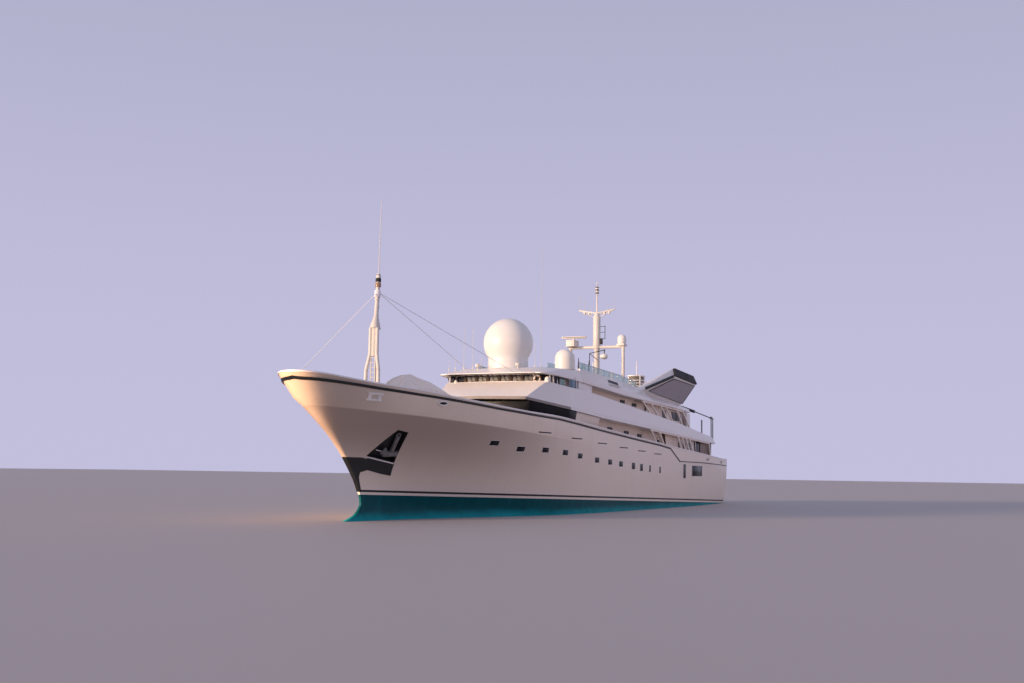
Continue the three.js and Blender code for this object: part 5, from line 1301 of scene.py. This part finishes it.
# Windlass, a cast and enamelled gearbox bolted to the foredeck, with a warping drum at each end.
# A steel chain of upright and flat links runs from each side to the hawse pipe ahead.
gear_grey = clouded("gear_enamel", 1.2, (0.30, 0.31, 0.32), (0.40, 0.41, 0.42), 0.4, 0.3, 4.0)
plated("windlass", "gearbox", gear_grey, 0.05)
DRUM_PROFILE = [(0.0, 0.0), (0.42, 0.0), (0.42, 0.05), (0.28, 0.12), (0.24, 0.3), (0.28, 0.48),
                (0.4, 0.55), (0.4, 0.6), (0.0, 0.6)]
drum_places = [Matrix.Translation((36.6, s * 1.12, 8.15)) @ Matrix.Rotation(math.radians(-90 * s), 4, "X")
               for s in (1, -1)]
settle(copied(turned(DRUM_PROFILE, 0, 0, 20), drum_places), "windlass_drums", steel)
CHAIN = [(37.15, 0.62, 8.3), (37.6, 0.7, 8.1), (38.1, 0.85, 7.95), (38.4, 0.95, 7.9)]


def chain_links(course, length=0.16, wire=0.03):
    """Upright and flat links in turn along a course."""
    total = sum((b - a).length for a, b in zip(course, course[1:]))
    bpy.ops.object.select_all(action="DESELECT")
    bpy.ops.mesh.primitive_torus_add(major_radius=0.07, minor_radius=wire * 0.6,
                                     major_segments=10, minor_segments=5)
    link = bpy.context.object
    link.data.transform(Matrix.Diagonal((1.5, 1, 1, 1)))
    places, walked = [], 0.0
    while walked < total:
        rest, i = walked, 0
        while rest > (course[i + 1] - course[i]).length:
            rest -= (course[i + 1] - course[i]).length
            i += 1
        along = (course[i + 1] - course[i]).normalized()
        flat = along.to_track_quat("X", "Z").to_matrix().to_4x4()
        flat = flat @ Matrix.Rotation(math.radians(90 * (len(places) % 2)), 4, "X")
        places.append(Matrix.Translation(course[i] + along * rest) @ flat)
        walked += length * 0.72
    return copied(link, places)


chain = [chain_links([Vector((x, s * y, z)) for x, y, z in CHAIN]) for s in (1, -1)]
settle(together(*chain), "anchor_chains", grey_iron)

# Bollards, pairs of cast posts on a common foot welded to the deck, and the foredeck's mushroom
# vents and hatch, all enamelled white. They stand in pairs, port and starboard.
def deck_height(x):
    return float(np.interp(
        x, [-42.65, -32, -25, -15.6, -8, 0, 8, 15, 21, 26, 30, 33.5, 36.5, 39, 41.3],
        [4.6, 4.6, 4.7, 4.95, 5.4, 5.87, 6.34, 6.75, 7.0, 7.12, 7.3, 7.5, 7.75, 7.95, 8.1]))


POST = [(0.0, 0.0), (0.2, 0.0), (0.16, 0.06), (0.15, 0.5), (0.21, 0.55), (0.21, 0.6), (0.0, 0.63)]
bollard = together(turned(POST, -0.35, 0, 16), turned(POST, 0.35, 0, 16),
                   block(-0.7, 0.7, -0.28, 0.28, -0.06, 0.05, 0.03))
BOLLARDS = [(34.6, 2.6), (28.6, 3.6), (19.4, 4.9), (-31.0, 5.2), (-39.5, 4.7)]
bollards = copied(bollard, [Matrix.Translation((x, s * y, deck_height(x) + 0.03))
                            for x, y in BOLLARDS for s in (1, -1)])
settle(bollards, "bollards", house_paint)
mushroom = turned([(0.0, 0.0), (0.14, 0.0), (0.14, 0.35), (0.32, 0.42), (0.34, 0.5), (0.24, 0.58),
                   (0.0, 0.62)], 0, 0, 18)
vents = copied(mushroom, [Matrix.Translation((x, s * y, deck_height(x)))
                          for x, y in ((19.6, 2.2), (34.2, 1.0)) for s in (1, -1)])
settle(vents, "deck_vents", house_paint)
hatch = together(block(17.9, 19.1, -0.7, 0.7, 6.8, 7.22, 0.04),
                 block(17.82, 19.18, -0.78, 0.78, 7.2, 7.3, 0.05),
                 rod([(18.1, -0.3, 7.3), (18.1, -0.3, 7.38), (18.1, 0.3, 7.38), (18.1, 0.3, 7.3)], 0.03, 6))
settle(hatch, "foredeck_hatch", house_paint)


# Tarpaulin over the boat on the foredeck, one sheet of pale canvas stretched over a ridge spar
# and laced down to the deck. Folds run out from the spar's high end, and the hem scallops
# between its ties.
COVER = [
    # x, half breadth at the foot, at the shoulder, shoulder height, ridge height
    (21.65, 0.85, 0.58, 8.7, 9.2), (22.2, 1.45, 1.08, 9.0, 9.65), (24.8, 1.85, 1.28, 9.4, 10.24),
    (26.6, 1.9, 1.22, 9.5, 10.42), (27.8, 1.95, 1.18, 9.5, 10.58), (29.2, 1.8, 1.1, 9.4, 10.36),
    (30.4, 1.55, 0.98, 9.2, 10.04), (31.35, 0.85, 0.58, 8.8, 9.62),
]
PEAK_X = 28.2
COVER_ROWS, COVER_COLUMNS = 90, 48
FOLD_DEPTH = 0.12
TIE_SPACING = 0.8
cover_table = np.array(COVER)
cover_start, cover_length = COVER[0][0], COVER[-1][0] - COVER[0][0]
sheet_mesh = bmesh.new()
sheet_rows = []
for i in range(COVER_ROWS + 1):
    x = cover_start + cover_length * i / COVER_ROWS
    foot, shoulder, shoulder_z, ridge_z = [
        float(np.interp(x, cover_table[:, 0], cover_table[:, c])) for c in (1, 2, 3, 4)]
    ground = deck_height(x) + 0.12
    row = []
    for j in range(COVER_COLUMNS + 1):
        t = 2 * j / COVER_COLUMNS - 1
        side, reach = (1 if t >= 0 else -1), abs(t)
        if reach < 0.5:
            share = reach / 0.5
            y, z = shoulder * share, ridge_z + (shoulder_z - ridge_z) * share
            z -= 0.1 * math.sin(math.pi * share)
        else:
            share = (reach - 0.5) / 0.5
            y = shoulder + (foot - shoulder) * share - 0.12 * math.sin(math.pi * share)
            z = shoulder_z + (ground - shoulder_z) * share
        from_peak = Vector((x - PEAK_X, side * y * 1.4, 0))
        spread = math.atan2(from_peak.y, from_peak.x)
        depth = min(1.0, from_peak.length / 1.2) * (0.6 + 0.4 * reach)
        waves = math.sin(9 * spread + 0.7)
        waves += 0.5 * math.sin(23 * spread + 1.9) + 0.25 * math.sin(41 * spread)
        fold = FOLD_DEPTH * depth * waves
        scallop = 0.05 * reach ** 4 * abs(math.sin(math.pi * x / TIE_SPACING))
        row.append(sheet_mesh.verts.new((x, side * max(0.0, y + fold * 0.7 * reach),
                                         z + fold * 0.5 * (1 - reach) - 0.02 + scallop)))
    sheet_rows.append(row)
for low, high in zip(sheet_rows, sheet_rows[1:]):
    for j in range(COVER_COLUMNS):
        sheet_mesh.faces.new((low[j], high[j], high[j + 1], low[j + 1]))
for end in (sheet_rows[0], sheet_rows[-1]):
    middle = sum((v.co for v in end), Vector()) / len(end)
    bottom = [sheet_mesh.verts.new((v.co.x, v.co.y * 0.98, deck_height(v.co.x) + 0.14))
              for v in end[10:-10]]
    for j, (a, b) in enumerate(zip(bottom, bottom[1:])):
        sheet_mesh.faces.new((end[10 + j], end[11 + j], b, a))
bmesh.ops.remove_doubles(sheet_mesh, verts=sheet_mesh.verts, dist=0.001)
bmesh.ops.recalc_face_normals(sheet_mesh, faces=sheet_mesh.faces)
cover = placed(sheet_mesh, "tarpaulin")


def canvas_recipe(t):
    where = t.place()
    weave = t.maths("SINE", t.axis("X", where) * 300.0) * t.maths("SINE", t.axis("Y", where) * 300.0)
    cloud = t.noise(1.1)
    spread = t.maths("ARCTAN2", t.axis("Y", where) * 1.4, t.axis("X", where) - PEAK_X)
    # Painted shade: the canvas darkens along the folds that run out from the peak.
    crease = t.maths("SINE", spread * 23.0 + 2.0 * cloud)
    # The cloth is cream; its tone is drawn warmer and lighter still as painted sunlight.
    colour = t.mixed(cloud, (0.95, 0.82, 0.70), (0.99, 0.90, 0.80))
    return {"Base Color": t.mixed(t.ramp(crease, 0.4, 1.0, 0.0, 0.35), colour, (0.62, 0.50, 0.41)),
            "Roughness": 0.62 + 0.2 * t.noise(6.0), "Height": 0.3 * weave + cloud}


canvas = finish("pale_canvas", canvas_recipe, bump=0.25, Sheen_Weight=0.6, Sheen_Roughness=0.6)
cover = settle(cover, "tarpaulin_sheet", canvas, ("boat_under_tarpaulin",), smooth=60)
tie_places = []
for x in np.arange(22.4, 31.2, TIE_SPACING):
    foot = float(np.interp(x, cover_table[:, 0], cover_table[:, 1]))
    tie_places += [Matrix.Translation((x, s * foot, deck_height(x) + 0.06)) for s in (1, -1)]
tie = block(-0.02, 0.02, -0.05, 0.05, -0.08, 0.12, 0.01)
tie_down = settle(copied(tie, tie_places), "tarpaulin_ties", rubber)

# Whip aerials on the wheelhouse roof, thin tapered rods on short tubes that are bolted to its
# plating, painted white.
AERIALS = [
    # x, y, height
    (13.6, -4.3, 1.0), (13.2, -3.9, 1.1), (12.6, -3.4, 3.55), (12.4, -2.65, 3.55),
    (12.6, -1.7, 1.0), (12.6, -1.0, 1.1), (11.8, 3.0, 2.2), (11.2, 3.3, 10.3),
]
aerials = []
for x, y, h in AERIALS:
    foot = float(np.interp(x, [7, 10.6, 12.6, 13.6, 14.4], [12.45, 12.45, 12.28, 12.0, 11.74])) - 0.06
    aerials.append(rod([(x, y, foot), (x, y, foot + 0.35)], 0.045, 8))
    aerials.append(rod([(x, y, foot + 0.3), (x, y, foot + h)], 0.018, 5))
settle(together(*aerials), "roof_aerials", mast_paint)

# Searchlights, two small round lamps on swivels at the roof's forward edge, turned and enamelled
# white.
searchlight = together(turned([(0.0, 0.0), (0.12, 0.0), (0.08, 0.06), (0.05, 0.3), (0.0, 0.3)], 0, 0, 12),
                       turned([(0.0, 0.28), (0.2, 0.3), (0.24, 0.42), (0.2, 0.54), (0.0, 0.58)], 0, 0, 16))
searchlights = copied(searchlight, [Matrix.Translation((12.9, y, 12.1)) for y in (-1.9, 1.9)])
settle(searchlights, "searchlights", mast_paint)

# Deck furniture of the sun deck, white enamelled chairs and tables and folded parasols on posts,
# which stand loose on the teak round the small dome.
parasol = together(rod([(0, 0, 0), (0, 0, 0.6)], 0.035, 8),
                   turned([(0.0, 0.55), (0.1, 0.6), (0.17, 0.8), (0.15, 1.3), (0.08, 1.9), (0.03, 2.15),
                           (0.0, 2.2)], 0, 0, 12))
PARASOLS = [(-3.2, 3.3), (-4.7, 3.9), (-5.9, 3.2), (-7.2, 4.1), (-4.0, 1.9), (-7.0, 1.8), (1.8, 3.6)]


def sun_floor(x):
    return under_sun_deck(x) + 0.31


furniture_white = clouded("furniture_white", 3.0, (0.70, 0.68, 0.66), (0.82, 0.80, 0.77), 0.5, 0.3, 9.0)
parasols = copied(parasol, [Matrix.Translation((x, s * y, sun_floor(x)))
                            for x, y in PARASOLS for s in (1, -1)])
settle(parasols, "folded_parasols", furniture_white)
arms = [rod([(0.25, y, 0), (0.25, y, 0.65), (-0.27, y, 0.65), (-0.27, y, 0)], 0.02, 5)
        for y in (0.25, -0.25)]
chair = together(block(-0.28, 0.28, -0.28, 0.28, 0.38, 0.44, 0.02),
                 block(-0.3, -0.24, -0.28, 0.28, 0.4, 0.95, 0.02), *arms)
TABLES_X = (-3.9, -5.7, -7.4)
CHAIRS = [(x, y, a) for x in TABLES_X for y, a in ((2.6, 90), (4.2, -90))]
CHAIRS += [(3.4, 1.5, 0), (3.4, 2.6, 0), (1.2, 1.5, 180)]
chair_places = []
for x, y, a in CHAIRS:
    for s in (1, -1):
        facing = Matrix.Rotation(math.radians(s * a), 4, "Z")
        chair_places.append(Matrix.Translation((x, s * y, sun_floor(x))) @ facing)
settle(copied(chair, chair_places), "deck_chairs", furniture_white)
table = together(turned([(0.0, 0.68), (0.55, 0.68), (0.57, 0.72), (0.55, 0.75), (0.0, 0.76)], 0, 0, 24),
                 turned([(0.0, 0.0), (0.25, 0.0), (0.05, 0.06), (0.04, 0.68), (0.0, 0.69)], 0, 0, 12))
tables = copied(table, [Matrix.Translation((x, s * 3.4, sun_floor(x))) for x in TABLES_X for s in (1, -1)])
settle(tables, "deck_tables", furniture_white)

# Roof screens, low panes of pale teal glass: one stands ahead of the big dome's foot, and a
# three-cornered one closes each wind screen's forward end.
low_screens = [block(8.9, 10.6, 3.6, 3.65, 12.42, 12.85, 0.01)]
low_screens += [plate([(5.6, s * 4.95, 12.56), (6.6, s * 4.95, 12.56), (5.6, s * 4.95, 13.1)], 0.04)
                for s in (1, -1)]
settle(together(*low_screens), "roof_screens", pale_teal)

# Pillars of the main and bridge decks, slanted steel tubes painted white and drawn in the warm
# cream that is painted light, welded between the deck edge and the deck above.
for deck_name in ("main", "bridge"):
    for side in ("port", "starboard"):
        plated(f"{deck_name}_pillars_{side}", "tubes", painted_bounce_cream, 0.02)

# After deck sides. Behind the pillars each deck is closed by a plated screen with dark slanted
# openings in it, and further aft by columns, panels of varnished teak and black posts.
openings = [plate([(x + 0.75, 4.88, 9.3), (x - 0.55, 4.88, 9.3), (x - 0.15, 4.88, 10.2),
                   (x + 1.1, 4.88, 10.2)], 0.03) for x in (-18.8, -22.2, -23.6)]
dark_panes = [plate([(x + 0.6, 5.8, 5.8), (x - 0.4, 5.8, 5.8), (x + 0.15, 5.8, 6.95),
                     (x + 1.05, 5.8, 6.95)], 0.03) for x in (-21.6, -23.3, -25.0)]
dark_panes.append(block(-29.7, -26.6, 5.75, 5.8, 5.2, 7.15, 0.02))
settle(both_sides(together(*openings, *dark_panes)), "after_openings", dark_glass)
SIDE_SCREENS = [
    # y, then (x, z) at the foot forward, foot aft, head aft, head forward
    (4.8, (-12.6, 8.1), (-24.4, 7.55), (-24.4, 10.5), (-12.6, 10.66)),
    (5.7, (-16.9, 5.1), (-27.4, 4.85), (-26.2, 7.5), (-15.9, 8.0)),
]
side_screens = [plate([(x, y, z) for x, z in outline], 0.06) for y, *outline in SIDE_SCREENS]
settle(both_sides(together(*side_screens)), "after_side_screens", painted_bounce_cream)
columns = [rod([(x, 4.9, 8.2), (x + 0.25, 4.9, 10.3)], 0.09, 8) for x in (-24.7, -26.6)]
columns.append(block(-28.5, -27.15, 4.68, 4.76, 7.4, 10.35, 0.03))
columns += [rod([(x, 5.85, 5.4), (x + 0.4, 5.85, 7.1)], 0.06, 8) for x in (-25.9, -26.4, -27.2)]
settle(both_sides(together(*columns)), "after_columns", house_paint)
wood = clouded("varnished_teak", 2.5, (0.16, 0.10, 0.075), (0.30, 0.21, 0.16), 0.35, 0.2, 5.0)
panels = [block(-32.4, -28.8, 5.78, 5.86, 5.0, 7.1, 0.03), block(-27.0, -24.5, 4.7, 4.75, 8.1, 10.3, 0.02)]
settle(both_sides(together(*panels)), "after_panels", wood)
post = rod([(-32.75, 5.9, 4.9), (-32.75, 5.9, 7.12)], 0.15, 8)
settle(both_sides(post), "after_black_posts", black_paint)

# Awning gear of the after decks, dark rollers held by steel booms and posts at the deck's edge,
# with the stern rail and the ensign staff behind them.
roller = [rod([(-26.4, 4.4, 11.0), (-31.4, 4.4, 10.75)], 0.17, 12),
          rod([(-26.6, 4.0, 11.15), (-30.6, 4.0, 10.95)], 0.1, 10)]
settle(both_sides(together(*roller)), "awning_rollers", rubber)
booms = [rod([(-30.4, 4.6, 10.75), (-34.3, 5.9, 10.0)], 0.07, 8),
         rod([(-33.7, 5.8, 7.6), (-33.7, 5.8, 10.1)], 0.07, 8),
         rod([(-34.2, 5.85, 7.4), (-34.2, 5.85, 10.0)], 0.07, 8),
         turned([(0.0, 9.95), (0.16, 9.98), (0.2, 10.1), (0.14, 10.24), (0.0, 10.28)], -33.7, 5.8, 12)]
settle(both_sides(together(*booms)), "awning_booms", steel)
plated("stern_rail", "tubes", steel, 0.0)
staff = rod([(-22.5, 0.5, 11.0), (-22.5, 0.5, 13.6)], 0.05, 8)
settle(staff, "ensign_staff", mast_paint)

# Bathing platform, a steel tray bolted to the transom and laid with teak. The seams of three
# doors show in the transom above it.
platform = plated("bathing_platform", "plate")
paint_faces(platform, [house_paint, teak], lambda c, n: int(n.z > 0.9))
TRANSOM_DOORS = [
    # x, sides, top, radius of the seam
    (-42.62, -1.6, 1.6, 3.6, 0.035), (-42.64, 2.2, 3.1, 3.1, 0.03), (-42.64, -2.2, -3.1, 3.1, 0.03),
]
DOOR_FOOT = 1.1
door_seams = [rod([(x, y0, DOOR_FOOT), (x, y1, DOOR_FOOT), (x, y1, top), (x, y0, top)], radius, 6, True)
              for x, y0, y1, top, radius in TRANSOM_DOORS]
settle(together(*door_seams), "transom_door_seams", grey_iron)

# Running gear, cast bronze propellers on steel shafts that run through struts, with plate rudders
# hung under bosses that are welded to the hull. All but bronze and shafts is antifouled teal.
def bronze_recipe(t):
    patina = t.noise(2.0)
    return {"Base Color": t.mixed(patina, (0.36, 0.22, 0.08), (0.60, 0.42, 0.18)),
            "Roughness": 0.25 + 0.3 * patina, "Height": t.noise(14.0)}


bronze = finish("cast_bronze", bronze_recipe, bump=0.12, Metallic=0.9)
rudder_boss = rod([(-36.6, 2.7, -0.9), (-36.6, 2.7, -1.9)], 0.36, 20)
settle(both_sides(rudder_boss), "rudder_bosses", bottom_paint)
for side in ("port", "starboard"):
    propeller, rudder = "propeller_" + side, "rudder_" + side
    plated(propeller, "blades", bronze, 0.01, 50, body=propeller)
    plated(rudder, "blade", bottom_paint, body=rudder)
    plated("shaft_" + side, "tube", bright_steel, 0.0)
    plated("shaft_bracket_" + side, "strut", bottom_paint)

# Studio. The model stands in a pale floor at its waterline, under a low warm sun from the starboard
# bow and a soft lilac sky, so the port side lies in shade. Two weak warm lamps stand for the light
# that water and quay throw back: one on the bow's plating, one along the whole port side.
world = bpy.data.worlds.new("studio")
bpy.context.scene.world = world
bpy.context.scene.view_settings.view_transform = "Standard"
world.use_nodes = True
sky = Tone(world.node_tree)
height = sky.axis("Z", sky.node("TexCoord", out="Generated"))
haze = sky.mixed(sky.ramp(height, 0.0, 0.75), (0.60, 0.58, 0.80), (0.36, 0.38, 0.52))
background = world.node_tree.nodes["Background"]
world.node_tree.links.new(haze.socket, background.inputs["Color"])
background.inputs["Strength"].default_value = 0.9


def lamp(name, kind, energy, colour, back, place=(0, 0, 0)):
    """A lamp at a place. Its light goes the other way from back."""
    made = bpy.data.objects.new(name, bpy.data.lights.new(name, kind))
    made.data.energy = energy
    made.data.color = colour
    made.location = place
    made.rotation_euler = Vector(back).to_track_quat("Z", "Y").to_euler()
    bpy.context.scene.collection.objects.link(made)
    return made


key = lamp("key_light", "SUN", 4.3, (1.0, 0.72, 0.50), (0.838, -0.536, 0.107))
key.data.angle = math.radians(12)
glow = lamp("bow_glow", "AREA", 158, (1.0, 0.54, 0.25), (2.2, -1.5, 0.3), (6.2, -1.5, 0.8))
glow.data.size = 0.7
glow.visible_camera = False
bow_pieces = bpy.data.collections.new("bow_pieces")
for name in ("hull_plating", "bulwark_cap_rail", "bow_fairleads"):
    bow_pieces.objects.link(bpy.data.objects[name])
glow.light_linking.receiver_collection = bow_pieces
quay = lamp("quay_glow", "AREA", 15, (1.0, 0.52, 0.24), (0, 1, 0), (-1.0, 5.0, 0.6))
quay.data.shape = "RECTANGLE"
quay.data.size = 5.0
quay.data.size_y = 1.0
quay.visible_camera = False
quay.visible_glossy = False
ship_pieces = bpy.data.collections.new("ship_pieces")
for piece in bpy.data.objects:
    if piece.type == "MESH":
        ship_pieces.objects.link(piece)
quay.light_linking.receiver_collection = ship_pieces
bpy.ops.object.select_all(action="DESELECT")
bpy.ops.mesh.primitive_plane_add(size=160, location=(0, 0, 0))
floor = bpy.context.object
floor.name = "floor"
pale = bpy.data.materials.new("pale_floor")
pale.use_nodes = True
matt = pale.node_tree.nodes["Principled BSDF"]
matt.inputs["Base Color"].default_value = (0.50, 0.455, 0.44, 1)
matt.inputs["Roughness"].default_value = 0.7
floor.data.materials.append(pale)
